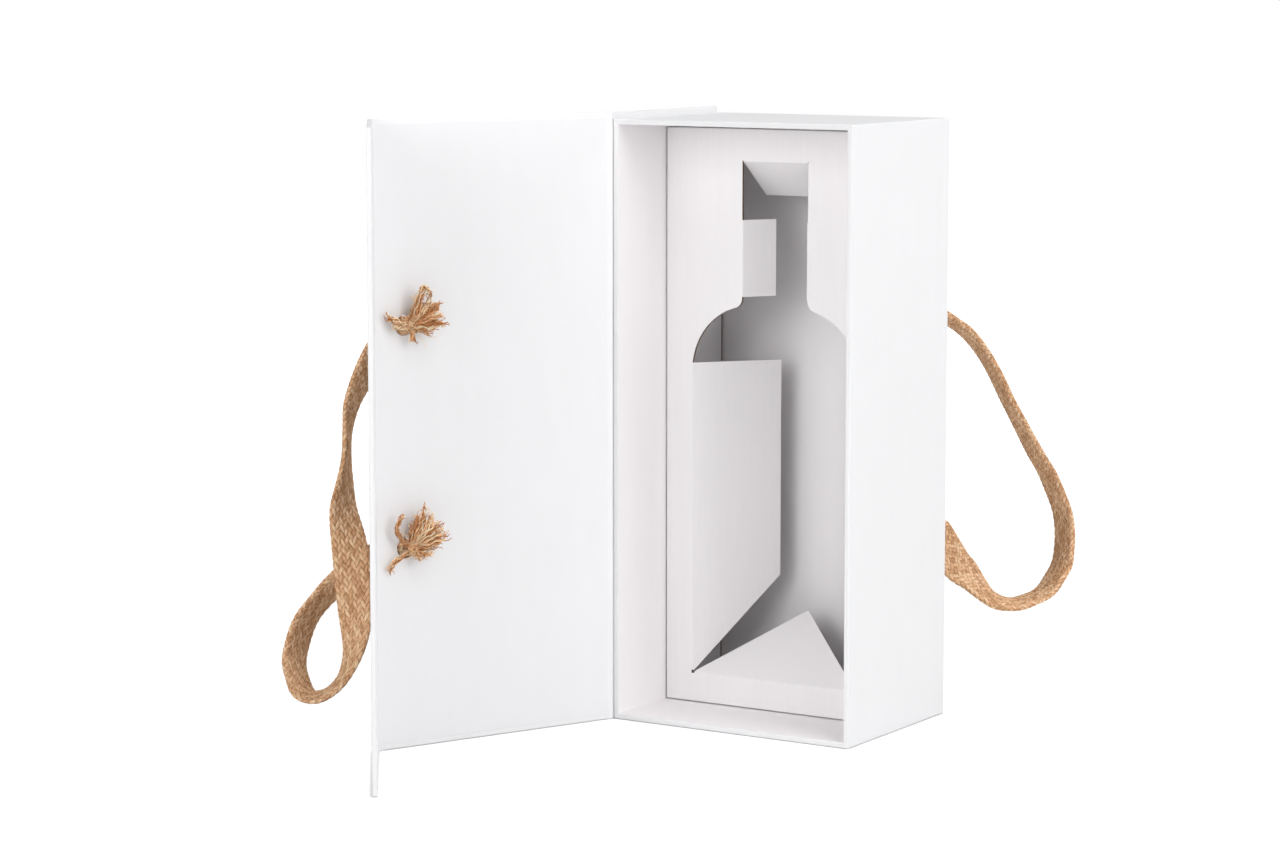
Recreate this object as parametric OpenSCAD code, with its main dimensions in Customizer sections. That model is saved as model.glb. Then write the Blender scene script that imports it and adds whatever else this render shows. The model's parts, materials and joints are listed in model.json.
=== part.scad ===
// Upright gift box for one bottle: a rigid board tray with an open front, a hinged
// door with a closing flap, a die-cut corrugated insert and two jute handles.
// The origin is the centre of the tray's footprint, on the surface it stands on.
// +X runs to the right along the front, +Y to the back and +Z up.

/* [Tray] */
// Outside width of the tray
tray_w = 125; // [115:1:150]
// Outside depth of the tray
tray_d = 93; // [90:1:110]
// Outside height of the tray
tray_h = 280; // [270:1:340]
// Thickness of the bare greyboard
board_t = 2; // [1.5:0.1:2.4]
// Thickness of the covering paper
paper_t = 0.25; // [0.2:0.05:0.35]
// How far the covering paper turns in behind the front rim
turn_in = 15; // [10:1:25]

/* [Case] */
// How far the door, spine and flap stand above the tray
case_rise = 3; // [0:0.5:6]
// How far the closed flap ends short of the tray's back
flap_short = 4.1; // [1:0.1:20]
// Bare paper between a fold line and the nearest board
fold_gap = 2.6; // [2.5:0.1:4]
// Bare margin of the covering paper round a lining sheet
lining_margin = 2.5; // [1.5:0.5:6]
// Space between a closed panel and the tray
seat_clear = 0.3; // [0.2:0.1:1]
// Space between the two sides of a paper fold
fold_clear = 0.1; // [0.05:0.05:0.2]
// Angle of the door at rest, from closed
door_open = 113.6; // [0:0.2:180]
// Angle of the flap at rest, from the plane of the door
flap_fold = 59.8; // [0:0.2:90]

/* [Magnets] */
// Diameter of a closing magnet
magnet_d = 10; // [6:1:15]
// Thickness of a closing magnet
magnet_t = 1.2; // [0.8:0.1:1.3]
// Distance from the flap's free edge to the centre of a magnet
magnet_inset = 12; // [8:1:25]
// Distance between the two magnets of a pair
magnet_spacing = 150; // [100:5:220]
// Space round a magnet in its pocket
magnet_clear = 0.1; // [0.05:0.05:0.2]

/* [Insert] */
// Thickness of the corrugated sheet
sheet_t = 1.5; // [1.2:0.1:2]
// Gap between the insert and the right wall
insert_side_gap = 1.6; // [0.4:0.1:4]
// Gap between the insert and the top wall
insert_head_gap = 1.8; // [0.4:0.1:6]
// Distance from the tray's front to the insert's face
insert_recess = 41.6; // [35:0.2:43]
// Space between the insert and the left wall that it stands against
insert_clear = 0.2; // [0.1:0.1:0.5]

/* [Cut-out] */
// Height of the foot of the cut-out above the floor
cut_foot = 16.5; // [12:0.5:20]
// Height left over the cut-out, below the top of the insert
cut_head = 15.3; // [8:0.1:25]
// Width of the cut-out at the bottle's body
cut_body_w = 89.2; // [80:0.2:90]
// Radius of the cut-out's shoulders
cut_shoulder_r = 32; // [28:1:34]
// Width of the cut-out at the bottle's neck
cut_neck_w = 35; // [31:0.5:40]
// Radius of the rounded corners between the shoulders and the neck
neck_corner_r = 4.5; // [2:0.5:6]
// Height of the pair of flaps at the neck
neck_flap_h = 35.8; // [30:0.1:40]
// Height of the flap above the neck
top_flap_h = 26.8; // [20:0.1:30]
// Gap cut between neighbouring flaps
kerf = 0.8; // [0.5:0.1:1.5]
// Space between the rounded root of a flap and the sheet
crease_gap = 0.1; // [0.05:0.05:0.2]
// Length of crease left out at the end of a flap
corner_relief = 1.5; // [1.2:0.1:3]

/* [Flaps at rest] */
// Fold of the left body flap
body_left_fold = 51; // [0:1:90]
// Fold of the right body flap
body_right_fold = 54; // [0:1:90]
// Fold of the bottom flap
bottom_fold = 49; // [0:1:90]
// Fold of the left neck flap
neck_left_fold = 56; // [0:1:90]
// Fold of the right neck flap
neck_right_fold = 66; // [0:1:90]
// Fold of the top flap
top_fold = 52; // [0:1:90]

/* [Handles] */
// Width of the jute tape
tape_w = 17; // [12:0.5:20]
// Thickness of the jute tape
tape_t = 3.5; // [2.5:0.1:4]
// Diameter of a handle's hole
strap_hole_d = 9; // [8:0.5:11]
// Space round the gathered tape in its hole
strap_hole_clear = 0.2; // [0.1:0.1:0.4]
// Distance between a handle's two holes
strap_spacing = 100; // [90:1:120]
// Height of the middle of a handle's holes above the floor
strap_centre_h = 141; // [120:1:170]
// Distance from the flap fold to the holes in the door
door_hole_inset = 15; // [12:1:25]
// Distance from the right wall's outside to the holes in the back
back_hole_inset = 12.5; // [11:0.5:13.5]
// Length over which the gathered tape spreads to its full width
tape_spread = 16; // [8:1:30]
// Radius of a knot inside the door
knot_r = 5.5; // [4.5:0.1:7]
// Radius of a flat knot behind the insert
back_knot_r = 4.7; // [4.5:0.1:5]
// Length of the frayed ends past the knot
fray_len = 13; // [8:1:25]
// Thickness of a frayed strand at its root
strand_d = 3; // [1.5:0.1:3.5]

/* [Hidden] */

// One overrun serves every cut
over = 1;
circle_steps = 64;
strand_sides = 6;
wall_t = board_t + 2 * paper_t;
front_y = -tray_d / 2;
back_y = tray_d / 2;
side_x = tray_w / 2;
case_h = tray_h + case_rise;

// The fold lines run along the middle of the two papers glued together
hinge_x = -side_x - seat_clear - paper_t;
hinge_y = front_y - seat_clear - paper_t;
door_span = -2 * hinge_x;
flap_len = back_y - flap_short - hinge_y;
panel_out = board_t + paper_t;

// The insert stands against the left wall and on the lined floor
insert_w = tray_w - 2 * wall_t - insert_clear - insert_side_gap;
insert_h = tray_h - 2 * wall_t - insert_head_gap;
insert_left = -side_x + wall_t + insert_clear;
insert_x = insert_left + insert_w / 2;
insert_foot = wall_t;
insert_head = wall_t + insert_h;
face_y = front_y + insert_recess;
crease_y = face_y + sheet_t / 2;
lined_back_y = back_y - wall_t;
root_r = sheet_t / 2;
crease_cut = root_r + crease_gap;
half_body = cut_body_w / 2;
half_neck = cut_neck_w / 2;
// The cut-out is set out from its top down, and its straight sides take what is left
cut_top = insert_head - cut_head;
neck_top = cut_top - top_flap_h - kerf;
neck_foot = neck_top - neck_flap_h;
neck_corner_x = half_neck + neck_corner_r;
neck_corner_z = neck_foot - kerf;
arc_x = half_body - cut_shoulder_r;
arc_z = neck_corner_z
    - sqrt(pow(cut_shoulder_r + neck_corner_r, 2) - pow(neck_corner_x - arc_x, 2));
// The shoulder arc starts a little below the top of the straight sides
arc_drop_share = 0.12;
cut_body_top = arc_z + arc_drop_share * cut_shoulder_r;

strap_upper_z = strap_centre_h + strap_spacing / 2;
strap_lower_z = strap_centre_h - strap_spacing / 2;
strap_door_x = door_span - door_hole_inset;
strap_back_x = side_x - back_hole_inset;
neck_r = strap_hole_d / 2 - strap_hole_clear;
magnet_low_z = case_h / 2 - magnet_spacing / 2;
magnet_y = hinge_y + flap_len - magnet_inset;

// Middle of the tape, from hole to hole: [out from the wall, sideways, height above the
// floor, turn of the tape's width from sideways towards outwards, in degrees]
door_route = [
    [0, 0, 191, 0], [10, 0, 187, -4], [20, 0, 179, -10], [30, 0, 169, -18],
    [40, 0, 157, -30], [46, 0, 148, -42], [48, 1, 137, -53], [47, 2, 127, -53],
    [45, 4, 115, -38], [41, 7, 103, -17], [33, 9, 89, 12], [26, 11, 73, 34],
    [23, 12, 61, 52], [21, 13, 50, 72], [21, 15, 40, 94], [25, 18, 29, 112],
    [32, 21, 22, 120], [40, 23, 19, 124], [49, 24, 19, 130], [59, 22, 23, 140],
    [68, 19, 30, 148], [74, 13, 40, 154], [76, 7, 49, 160], [73, 0, 58, 172],
    [66, -4, 65, 196], [54, -7, 72, 232], [41, -9, 78, 256], [28, -9, 82, 266],
    [14, -5, 87, 270], [0, 0, 91, 270]
];
back_route = [
    [0, 0, 191, 0], [12, 0, 188, 10], [23, 0, 184, 22], [37, 0, 179, 32],
    [49, -1, 172, 38], [59, -2, 164, 41], [69, -3, 154, 42], [80, -4, 141, 42],
    [90, -5, 130, 40], [100, -6, 119, 37], [108, -7, 110, 34], [118, -8, 100, 32],
    [126, -9, 89, 31], [132, -10, 79, 31], [133, -11, 70, 32], [131, -12, 62, 34],
    [126, -13, 54, 38], [116, -14, 48, 42], [105, -14, 43, 46], [92, -13, 41, 52],
    [76, -11, 41, 62], [62, -8, 45, 72], [51, -6, 52, 82], [41, -4, 60, 94],
    [32, -2, 66, 104], [15, 0, 82, 114], [0, 0, 91, 120]
];
route_steps = 2;
tape_sides = 12;
tape_corner_share = 0.55;

function mix(a, b, s) = a + (b - a) * s;
function unit(v) = v / norm(v);
function place(p) = [p[0], p[1], p[2]];
// A smooth curve through four points, at share s of the way from b to c
function curve(a, b, c, d, s) =
    0.5 * (2 * b + (c - a) * s + (2 * a - 5 * b + 4 * c - d) * pow(s, 2)
        + (3 * b - a - 3 * c + d) * pow(s, 3));
function smooth_route(p) = let (n = len(p) - 1) concat(
    [for (i = [0:n - 1], k = [0:route_steps - 1])
        curve(p[max(i - 1, 0)], p[i], p[i + 1], p[min(i + 2, n)], k / route_steps)],
    [p[n]]);
function lengths(p, i = 0, sum = 0) = i == len(p) - 1 ? [sum]
    : concat([sum], lengths(p, i + 1, sum + norm(place(p[i + 1]) - place(p[i]))));
function signed_power(v, e) = sign(v) * pow(abs(v), e);
// One ring of the tape: a flat section with rounded edges, gathered near both holes
function tape_ring(p, i, gone, total) = let (
    n = len(p) - 1,
    along = unit(place(p[min(i + 1, n)]) - place(p[max(i - 1, 0)])),
    square = i == 0 || i == n,
    ahead = square ? [i == 0 ? 1 : -1, 0, 0] : along,
    wide = [sin(p[i][3]), cos(p[i][3]), 0],
    across = unit(wide - (wide * ahead) * ahead),
    up = cross(ahead, across),
    spread = min(1, min(gone, total - gone) / tape_spread),
    half_w = mix(neck_r, tape_w / 2, spread),
    half_t = mix(neck_r, tape_t / 2, spread)
) [for (j = [0:tape_sides - 1]) let (a = 360 * j / tape_sides)
    place(p[i]) + across * half_w * signed_power(cos(a), mix(1, tape_corner_share, spread))
        + up * half_t * signed_power(sin(a), mix(1, tape_corner_share, spread))];

// The tape as one closed tube; it starts and ends square to the wall
module tape(route) {
    p = smooth_route(route);
    gone = lengths(p);
    n = len(p) - 1;
    rings = [for (i = [0:n]) tape_ring(p, i, gone[i], gone[n])];
    m = tape_sides;
    sides = [for (i = [0:n - 1], j = [0:m - 1]) let (k = (j + 1) % m, a = i * m, b = a + m)
        each [[a + j, b + j, b + k], [a + j, b + k, a + k]]];
    caps = concat([for (j = [1:m - 2]) [0, j, j + 1]],
        [for (j = [1:m - 2]) [n * m, n * m + j + 1, n * m + j]]);
    polyhedron(points = [for (r = rings, v = r) v], faces = concat(sides, caps));
}

// A block between two corners
module block(low, high) {
    translate(low) cube(high - low);
}

// A cylinder lying along Y, from y0 to y1
module rod_y(x, z, r, y0, y1) {
    translate([x, y0, z]) rotate([-90, 0, 0]) cylinder(r = r, h = y1 - y0, $fn = circle_steps);
}

// Places shared by the pieces of a body
module on_door() {
    translate([hinge_x, hinge_y, 0]) rotate([0, 0, -door_open]) children();
}
module on_flap() {
    on_door() translate([door_span, 0, 0]) rotate([0, 0, flap_fold]) children();
}

// Tray
module strap_holes(x, y0, y1) {
    for (z = [strap_upper_z, strap_lower_z]) rod_y(x, z, strap_hole_d / 2, y0, y1);
}
module tray_back_board() {
    color("#a39a8e") difference() {
        block([-side_x + paper_t, back_y - paper_t - board_t, paper_t],
            [side_x - paper_t, back_y - paper_t, tray_h - paper_t]);
        strap_holes(strap_back_x, lined_back_y - over, back_y + over);
    }
}
module side_board(x) {
    block([x, front_y + paper_t, paper_t],
        [x + board_t, back_y - paper_t - board_t, tray_h - paper_t]);
}
module tray_left_board() {
    color("#a39a8e") side_board(-side_x + paper_t);
}
module magnet_pair(x, grow, y, low_z) {
    for (z = [low_z, low_z + magnet_spacing])
        translate([x, y, z]) rotate([0, 90, 0])
            cylinder(d = magnet_d + 2 * grow, h = magnet_t + grow, $fn = circle_steps);
}
wall_magnet_x = side_x - paper_t - magnet_t;
module tray_right_board() {
    color("#a39a8e") difference() {
        side_board(side_x - paper_t - board_t);
        magnet_pair(wall_magnet_x - magnet_clear, magnet_clear, magnet_y, magnet_low_z);
    }
}
module wall_magnets() {
    color("#b8bcc2") magnet_pair(wall_magnet_x, 0, magnet_y, magnet_low_z);
}
module cross_board(z) {
    block([-side_x + paper_t + board_t, front_y + paper_t, z],
        [side_x - paper_t - board_t, back_y - paper_t - board_t, z + board_t]);
}
module tray_top_board() {
    color("#a39a8e") cross_board(tray_h - paper_t - board_t);
}
module tray_base_board() {
    color("#a39a8e") cross_board(paper_t);
}
module tray_base_paper() {
    color("#f4f3f1") block([-side_x, front_y, 0], [side_x, back_y, paper_t]);
}
// Outer paper on four sides, turned over the front rim and a little way in
module tray_wrap() {
    inner_x = side_x - paper_t - board_t;
    color("#f4f3f1") difference() {
        block([-side_x, front_y, paper_t], [side_x, back_y, tray_h]);
        block([-side_x + paper_t, front_y + paper_t, paper_t],
            [-inner_x, back_y - paper_t, tray_h - paper_t]);
        block([inner_x, front_y + paper_t, paper_t],
            [side_x - paper_t, back_y - paper_t, tray_h - paper_t]);
        block([-side_x + paper_t, front_y + paper_t, paper_t],
            [side_x - paper_t, back_y - paper_t, paper_t + board_t]);
        block([-side_x + paper_t, front_y + paper_t, tray_h - paper_t - board_t],
            [side_x - paper_t, back_y - paper_t, tray_h - paper_t]);
        block([-side_x + paper_t, front_y + turn_in, paper_t],
            [side_x - paper_t, back_y - paper_t, tray_h - paper_t]);
        block([-side_x + wall_t, front_y - over, wall_t],
            [side_x - wall_t, back_y - paper_t, tray_h - wall_t]);
        strap_holes(strap_back_x, lined_back_y - over, back_y + over);
    }
}
// Inner paper on the walls behind the turned-in margin, and on the back
module tray_lining() {
    color("#efedea") difference() {
        block([-side_x + wall_t - paper_t, front_y + turn_in, wall_t - paper_t],
            [side_x - wall_t + paper_t, lined_back_y + paper_t, tray_h - wall_t + paper_t]);
        block([-side_x + wall_t, front_y, wall_t],
            [side_x - wall_t, lined_back_y, tray_h - wall_t]);
        strap_holes(strap_back_x, lined_back_y - over, back_y + over);
    }
}

// Spine, glued to the left wall
module spine_board() {
    color("#a39a8e") block([-side_x - board_t, front_y + paper_t, paper_t],
        [-side_x, back_y - paper_t, case_h - paper_t]);
}
module spine_wrap() {
    color("#f4f3f1") difference() {
        block([-side_x - panel_out, front_y, 0], [-side_x, back_y, case_h]);
        block([-side_x - board_t, front_y + paper_t, paper_t],
            [-side_x + over, back_y - paper_t, case_h - paper_t]);
    }
}

// Panels of the case. A panel lies along X from its fold line, its lined side is +Y
module panel_board(x1) {
    block([fold_gap, -board_t, paper_t], [x1, 0, case_h - paper_t]);
}
// Rounded root of the doubled paper: the outer or the inner half of it
module fold_root(half, z0, z1) {
    translate([0, 0, z0]) intersection() {
        cylinder(r = paper_t, h = z1 - z0, $fn = circle_steps);
        block([-paper_t, min(0, half * paper_t), 0], [0, max(0, half * paper_t), z1 - z0]);
    }
}
// Outer paper of a panel: sunk into the folds, over the board and round its ends
module panel_wrap(board_end, end, last) {
    difference() {
        union() {
            block([0, -paper_t, 0], [fold_gap, 0, case_h]);
            block([fold_gap - paper_t, -panel_out, 0], [board_end + paper_t, 0, case_h]);
            if (!last) block([board_end, -paper_t, 0], [end, 0, case_h]);
            fold_root(-1, 0, case_h);
            for (z = [0, case_h - lining_margin]) {
                block([0, 0, z], [end, paper_t, z + lining_margin]);
                fold_root(1, z, z + lining_margin);
            }
            if (last) block([end - lining_margin, 0, 0], [end, paper_t, case_h]);
        }
        block([fold_gap, -board_t, paper_t], [board_end, 0, case_h - paper_t]);
    }
}
module panel_lining(end) {
    block([0, 0, lining_margin], [end, paper_t, case_h - lining_margin]);
    fold_root(1, lining_margin, case_h - lining_margin);
}
door_board_end = door_span - fold_gap;
door_end = door_span - paper_t - fold_clear;
flap_board_end = flap_len - paper_t;
module door_board() {
    color("#a39a8e") on_door() difference() {
        panel_board(door_board_end);
        strap_holes(strap_door_x, -board_t - over, over);
    }
}
module door_wrap() {
    color("#f6f5f3") on_door() difference() {
        panel_wrap(door_board_end, door_end, false);
        strap_holes(strap_door_x, -panel_out - over, over);
    }
}
module door_lining() {
    color("#f3f2f0") on_door() difference() {
        panel_lining(door_end);
        strap_holes(strap_door_x, -over, over);
    }
}
flap_magnet_x = flap_len - magnet_inset;
// A flap magnet sits in a pocket on the lined side of the board
module flap_magnet_pair(grow) {
    for (z = [magnet_low_z, magnet_low_z + magnet_spacing])
        rod_y(flap_magnet_x, z, magnet_d / 2 + grow, -magnet_t - grow, 0);
}
module flap_board() {
    color("#a39a8e") on_flap() difference() {
        panel_board(flap_board_end);
        flap_magnet_pair(magnet_clear);
    }
}
module flap_wrap() {
    color("#f6f5f3") on_flap() panel_wrap(flap_board_end, flap_len, true);
}
module flap_lining() {
    color("#f3f2f0") on_flap() panel_lining(flap_len - lining_margin);
}
module flap_magnets() {
    color("#b8bcc2") on_flap() flap_magnet_pair(0);
}

// Corrugated insert
module shoulder(side) {
    translate([side * arc_x, arc_z]) circle(r = cut_shoulder_r, $fn = 2 * circle_steps);
}
// Rounded corner where a shoulder runs into the neck: it touches the arc at a share
// of the way between the two centres
module neck_corner() {
    share = cut_shoulder_r / (cut_shoulder_r + neck_corner_r);
    touch = [mix(arc_x, neck_corner_x, share), mix(arc_z, neck_corner_z, share)];
    difference() {
        polygon([[half_neck, neck_corner_z], [neck_corner_x, neck_corner_z], touch,
            [arc_x, arc_z], [arc_x, neck_corner_z]]);
        translate([neck_corner_x, neck_corner_z])
            circle(r = neck_corner_r, $fn = circle_steps);
    }
}
module cut_outline() {
    translate([-half_body, cut_foot]) square([cut_body_w, arc_z - cut_foot]);
    intersection() {
        union() {
            shoulder(-1);
            shoulder(1);
            translate([-arc_x, arc_z]) square([2 * arc_x, cut_shoulder_r]);
        }
        translate([-half_body, arc_z - over]) square([cut_body_w, cut_shoulder_r + over]);
    }
    translate([-half_neck, arc_z]) square([cut_neck_w, cut_top - arc_z]);
    neck_corner();
    mirror([1, 0]) neck_corner();
}
// Slots that make room for the rounded roots of the flaps
module crease_slots() {
    reach = crease_cut;
    for (side = [-1, 1]) {
        translate([side * half_body - reach, cut_foot + corner_relief - crease_gap])
            square([2 * reach, cut_body_top - cut_foot - corner_relief + 2 * crease_gap]);
        translate([side * half_neck - reach, neck_foot - crease_gap])
            square([2 * reach, neck_flap_h + 2 * crease_gap]);
    }
    translate([-half_body + corner_relief - crease_gap, cut_foot - reach])
        square([cut_body_w - 2 * corner_relief + 2 * crease_gap, 2 * reach]);
    translate([-half_neck + kerf / 2 - crease_gap, cut_top - reach])
        square([cut_neck_w - kerf + 2 * crease_gap, 2 * reach]);
}
module insert_face() {
    color("#ece9e6") translate([insert_x, face_y + sheet_t, 0]) rotate([90, 0, 0])
        linear_extrude(height = sheet_t) difference() {
            translate([-insert_w / 2, insert_foot]) square([insert_w, insert_h]);
            cut_outline();
            crease_slots();
        }
}
module insert_left_wall() {
    color("#e6e1db") block([insert_left, face_y + sheet_t, insert_foot],
        [insert_left + sheet_t, lined_back_y, insert_head]);
}
module insert_right_wall() {
    color("#e6e1db") block([insert_left + insert_w - sheet_t, face_y + sheet_t, insert_foot],
        [insert_left + insert_w, lined_back_y, insert_head]);
}
module insert_cross_wall(z) {
    block([insert_left + sheet_t, face_y + sheet_t, z],
        [insert_left + insert_w - sheet_t, lined_back_y, z + sheet_t]);
}
module insert_top_wall() {
    color("#e6e1db") insert_cross_wall(insert_head - sheet_t);
}
module insert_base_wall() {
    color("#e6e1db") insert_cross_wall(insert_foot);
}

// A flap lies along +X from its crease, which runs up from z0 to z1; points is its outline
module creased_flap(points, z0, z1) {
    translate([0, sheet_t / 2, 0]) rotate([90, 0, 0])
        linear_extrude(height = sheet_t) polygon(points);
    translate([0, 0, z0]) cylinder(r = root_r, h = z1 - z0, $fn = circle_steps);
}
module body_flap() {
    w = half_body - kerf / 2;
    z0 = cut_foot + corner_relief;
    z_mitre = cut_foot + kerf;
    creased_flap([[0, z0], [corner_relief - kerf, z0], [w, z_mitre + w], [w, cut_body_top],
        [0, cut_body_top]], z0, cut_body_top);
}
module insert_body_flap_left() {
    color("#e2dfdc") translate([insert_x - half_body, crease_y, 0])
        rotate([0, 0, body_left_fold]) body_flap();
}
module insert_body_flap_right() {
    color("#e2dfdc") translate([insert_x + half_body, crease_y, 0])
        mirror([1, 0, 0]) rotate([0, 0, body_right_fold]) body_flap();
}
module insert_bottom_flap() {
    reach = half_body - corner_relief;
    tip = half_body - kerf;
    color("#e4e1de") translate([insert_x, crease_y, cut_foot]) rotate([-bottom_fold, 0, 0])
        union() {
            translate([0, sheet_t / 2, 0]) rotate([90, 0, 0]) linear_extrude(height = sheet_t)
                polygon([[-reach, 0], [reach, 0], [reach, corner_relief - kerf], [0, tip],
                    [-reach, corner_relief - kerf]]);
            translate([-reach, 0, 0]) rotate([0, 90, 0])
                cylinder(r = root_r, h = 2 * reach, $fn = circle_steps);
        }
}
module neck_flap() {
    w = half_neck - kerf;
    creased_flap([[0, neck_foot], [w, neck_foot], [w, neck_top], [0, neck_top]],
        neck_foot, neck_top);
}
module insert_neck_flap_left() {
    color("#e2dfdc") translate([insert_x - half_neck, crease_y, 0])
        rotate([0, 0, neck_left_fold]) neck_flap();
}
module insert_neck_flap_right() {
    color("#e2dfdc") translate([insert_x + half_neck, crease_y, 0])
        mirror([1, 0, 0]) rotate([0, 0, neck_right_fold]) neck_flap();
}
module insert_top_flap() {
    reach = half_neck - kerf / 2;
    color("#e4e1de") translate([insert_x, crease_y, cut_top]) rotate([top_fold, 0, 0])
        union() {
            translate([0, sheet_t / 2, 0]) rotate([90, 0, 0]) linear_extrude(height = sheet_t)
                translate([-reach, -top_flap_h]) square([2 * reach, top_flap_h]);
            translate([-reach, 0, 0]) rotate([0, 90, 0])
                cylinder(r = root_r, h = 2 * reach, $fn = circle_steps);
        }
}

// Handles. Each tape's frame has +X out of the wall and +Z up
module door_strap() {
    color("#a97a4e") on_door() translate([strap_door_x, -panel_out, 0]) rotate([0, 0, -90])
        tape(door_route);
}
module back_strap() {
    color("#a97a4e") translate([strap_back_x, back_y, 0]) rotate([0, 0, 90])
        tape(back_route);
}
// Gathered tape through a hole, with its knot on the inside; +X is out of the wall
module knot(z, r, thick) {
    translate([0, 0, z]) rotate([0, 90, 0]) {
        translate([0, 0, -thick - r]) cylinder(r = neck_r, h = thick + r, $fn = circle_steps);
        translate([0, 0, -thick - seat_clear - r]) sphere(r = r, $fn = circle_steps);
    }
}
// Frayed strands past a knot: [turn round the wall's normal, lean from it, length share]
fray_tip_share = 0.35;
upper_fray_shares = [
    [80, 62, 1.35], [105, 40, 0.9], [55, 50, 0.85], [30, 66, 0.8], [5, 58, 1.15],
    [-20, 64, 1.2], [-45, 52, 0.8], [-80, 70, 0.75], [150, 34, 0.7], [0, 12, 0.9]
];
lower_fray_shares = [
    [78, 58, 1.2], [100, 44, 1.05], [58, 42, 1.1], [40, 60, 0.95], [20, 48, 1.1],
    [-5, 62, 1.2], [-28, 56, 0.95], [130, 52, 0.8], [-60, 40, 0.7], [10, 15, 0.95]
];
module frayed_knot(z, fray_shares) {
    knot(z, knot_r, wall_t);
    translate([-wall_t - seat_clear - knot_r, 0, z]) for (f = fray_shares)
        rotate([180 - f[0], 0, 0]) rotate([0, 0, 180 - f[1]]) rotate([0, 90, 0])
            cylinder(d1 = strand_d, d2 = fray_tip_share * strand_d,
                h = knot_r + fray_len * f[2], $fn = strand_sides);
}
module door_knot(z, fray_shares) {
    color("#b47434") on_door() translate([strap_door_x, -panel_out, 0])
        rotate([0, 0, -90]) frayed_knot(z, fray_shares);
}
module door_upper_knot() {
    door_knot(strap_upper_z, upper_fray_shares);
}
module door_lower_knot() {
    door_knot(strap_lower_z, lower_fray_shares);
}
module back_knot(z) {
    color("#b47434") translate([strap_back_x, back_y, 0]) rotate([0, 0, 90])
        knot(z, back_knot_r, wall_t);
}
module back_upper_knot() {
    back_knot(strap_upper_z);
}
module back_lower_knot() {
    back_knot(strap_lower_z);
}

tray_back_board();
tray_left_board();
tray_right_board();
tray_top_board();
tray_base_board();
tray_base_paper();
tray_wrap();
tray_lining();
wall_magnets();
spine_board();
spine_wrap();
door_board();
door_wrap();
door_lining();
door_strap();
door_upper_knot();
door_lower_knot();
flap_board();
flap_wrap();
flap_lining();
flap_magnets();
insert_face();
insert_left_wall();
insert_right_wall();
insert_top_wall();
insert_base_wall();
insert_body_flap_left();
insert_body_flap_right();
insert_bottom_flap();
insert_neck_flap_left();
insert_neck_flap_right();
insert_top_flap();
back_strap();
back_upper_knot();
back_lower_knot();
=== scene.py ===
"""The looks of an upright bottle gift box: wrapped board, corrugated insert and braided jute handles.

Lengths in this file are in millimetres and angles in degrees, unless a comment says otherwise.
MM turns them into Blender's metres.
"""

import math
import json

import bmesh
import bpy
import numpy as np
from mathutils import Matrix, Vector
from mathutils.geometry import tessellate_polygon


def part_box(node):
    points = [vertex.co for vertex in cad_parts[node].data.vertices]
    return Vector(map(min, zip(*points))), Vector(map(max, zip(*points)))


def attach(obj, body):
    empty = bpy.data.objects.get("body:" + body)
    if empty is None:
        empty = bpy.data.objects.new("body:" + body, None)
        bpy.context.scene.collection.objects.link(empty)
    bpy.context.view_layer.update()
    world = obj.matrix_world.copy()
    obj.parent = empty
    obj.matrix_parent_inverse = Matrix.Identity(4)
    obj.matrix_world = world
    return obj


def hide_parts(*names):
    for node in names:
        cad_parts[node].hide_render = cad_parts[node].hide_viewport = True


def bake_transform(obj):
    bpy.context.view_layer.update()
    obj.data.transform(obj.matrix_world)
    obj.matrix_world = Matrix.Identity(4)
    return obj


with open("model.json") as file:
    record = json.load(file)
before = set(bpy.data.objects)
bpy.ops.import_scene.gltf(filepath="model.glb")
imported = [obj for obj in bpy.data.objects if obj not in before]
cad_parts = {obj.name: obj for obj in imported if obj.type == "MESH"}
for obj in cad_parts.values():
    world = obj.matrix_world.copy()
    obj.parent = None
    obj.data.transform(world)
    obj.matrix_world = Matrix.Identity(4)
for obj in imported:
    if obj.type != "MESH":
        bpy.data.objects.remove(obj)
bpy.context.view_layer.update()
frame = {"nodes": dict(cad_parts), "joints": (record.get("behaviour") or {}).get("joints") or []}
MM = 0.001
SCENE = bpy.context.scene

# Joints and sizes that the frame holds
JOINTS = {j["name"]: j for j in frame["joints"]}


def joint_at(name):
    return Vector(JOINTS[name]["pos_m"]) / MM


def node_box(name):
    low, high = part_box(name)
    return low / MM, high / MM


def fold_at_rest(name):
    return -JOINTS[name]["range_deg"][0]


foot_low, foot_high = node_box("tray_base_paper")
SIDE_X = foot_high.x
FRONT_Y, BACK_Y = foot_low.y, foot_high.y
PAPER_T = foot_high.z
TRAY_H = node_box("tray_wrap")[1].z
spine_low, spine_high = node_box("spine_wrap")
CASE_H = spine_high.z
PANEL_OUT = -SIDE_X - spine_low.x
WALL_T = PANEL_OUT + PAPER_T
HINGE = joint_at("door_hinge")
FOLD = joint_at("flap_hinge")
DOOR_OPEN = JOINTS["door_hinge"]["range_deg"][1]
FLAP_FOLD = fold_at_rest("flap_hinge")
DOOR_SPAN = (FOLD - HINGE).length
face_low, face_high = node_box("insert_face")
SHEET_T = face_high.y - face_low.y
CREASE_Y = joint_at("body_flap_left_crease").y
INSERT_X = (face_low.x + face_high.x) / 2
HALF_BODY = INSERT_X - joint_at("body_flap_left_crease").x
HALF_NECK = INSERT_X - joint_at("neck_flap_left_crease").x
CUT_FOOT = joint_at("bottom_flap_crease").z
CUT_TOP = joint_at("top_flap_crease").z
NECK_FOOT = node_box("insert_neck_flap_left")[0].z
NECK_TOP = node_box("insert_neck_flap_left")[1].z
BODY_TOP = node_box("insert_body_flap_left")[1].z

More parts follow.
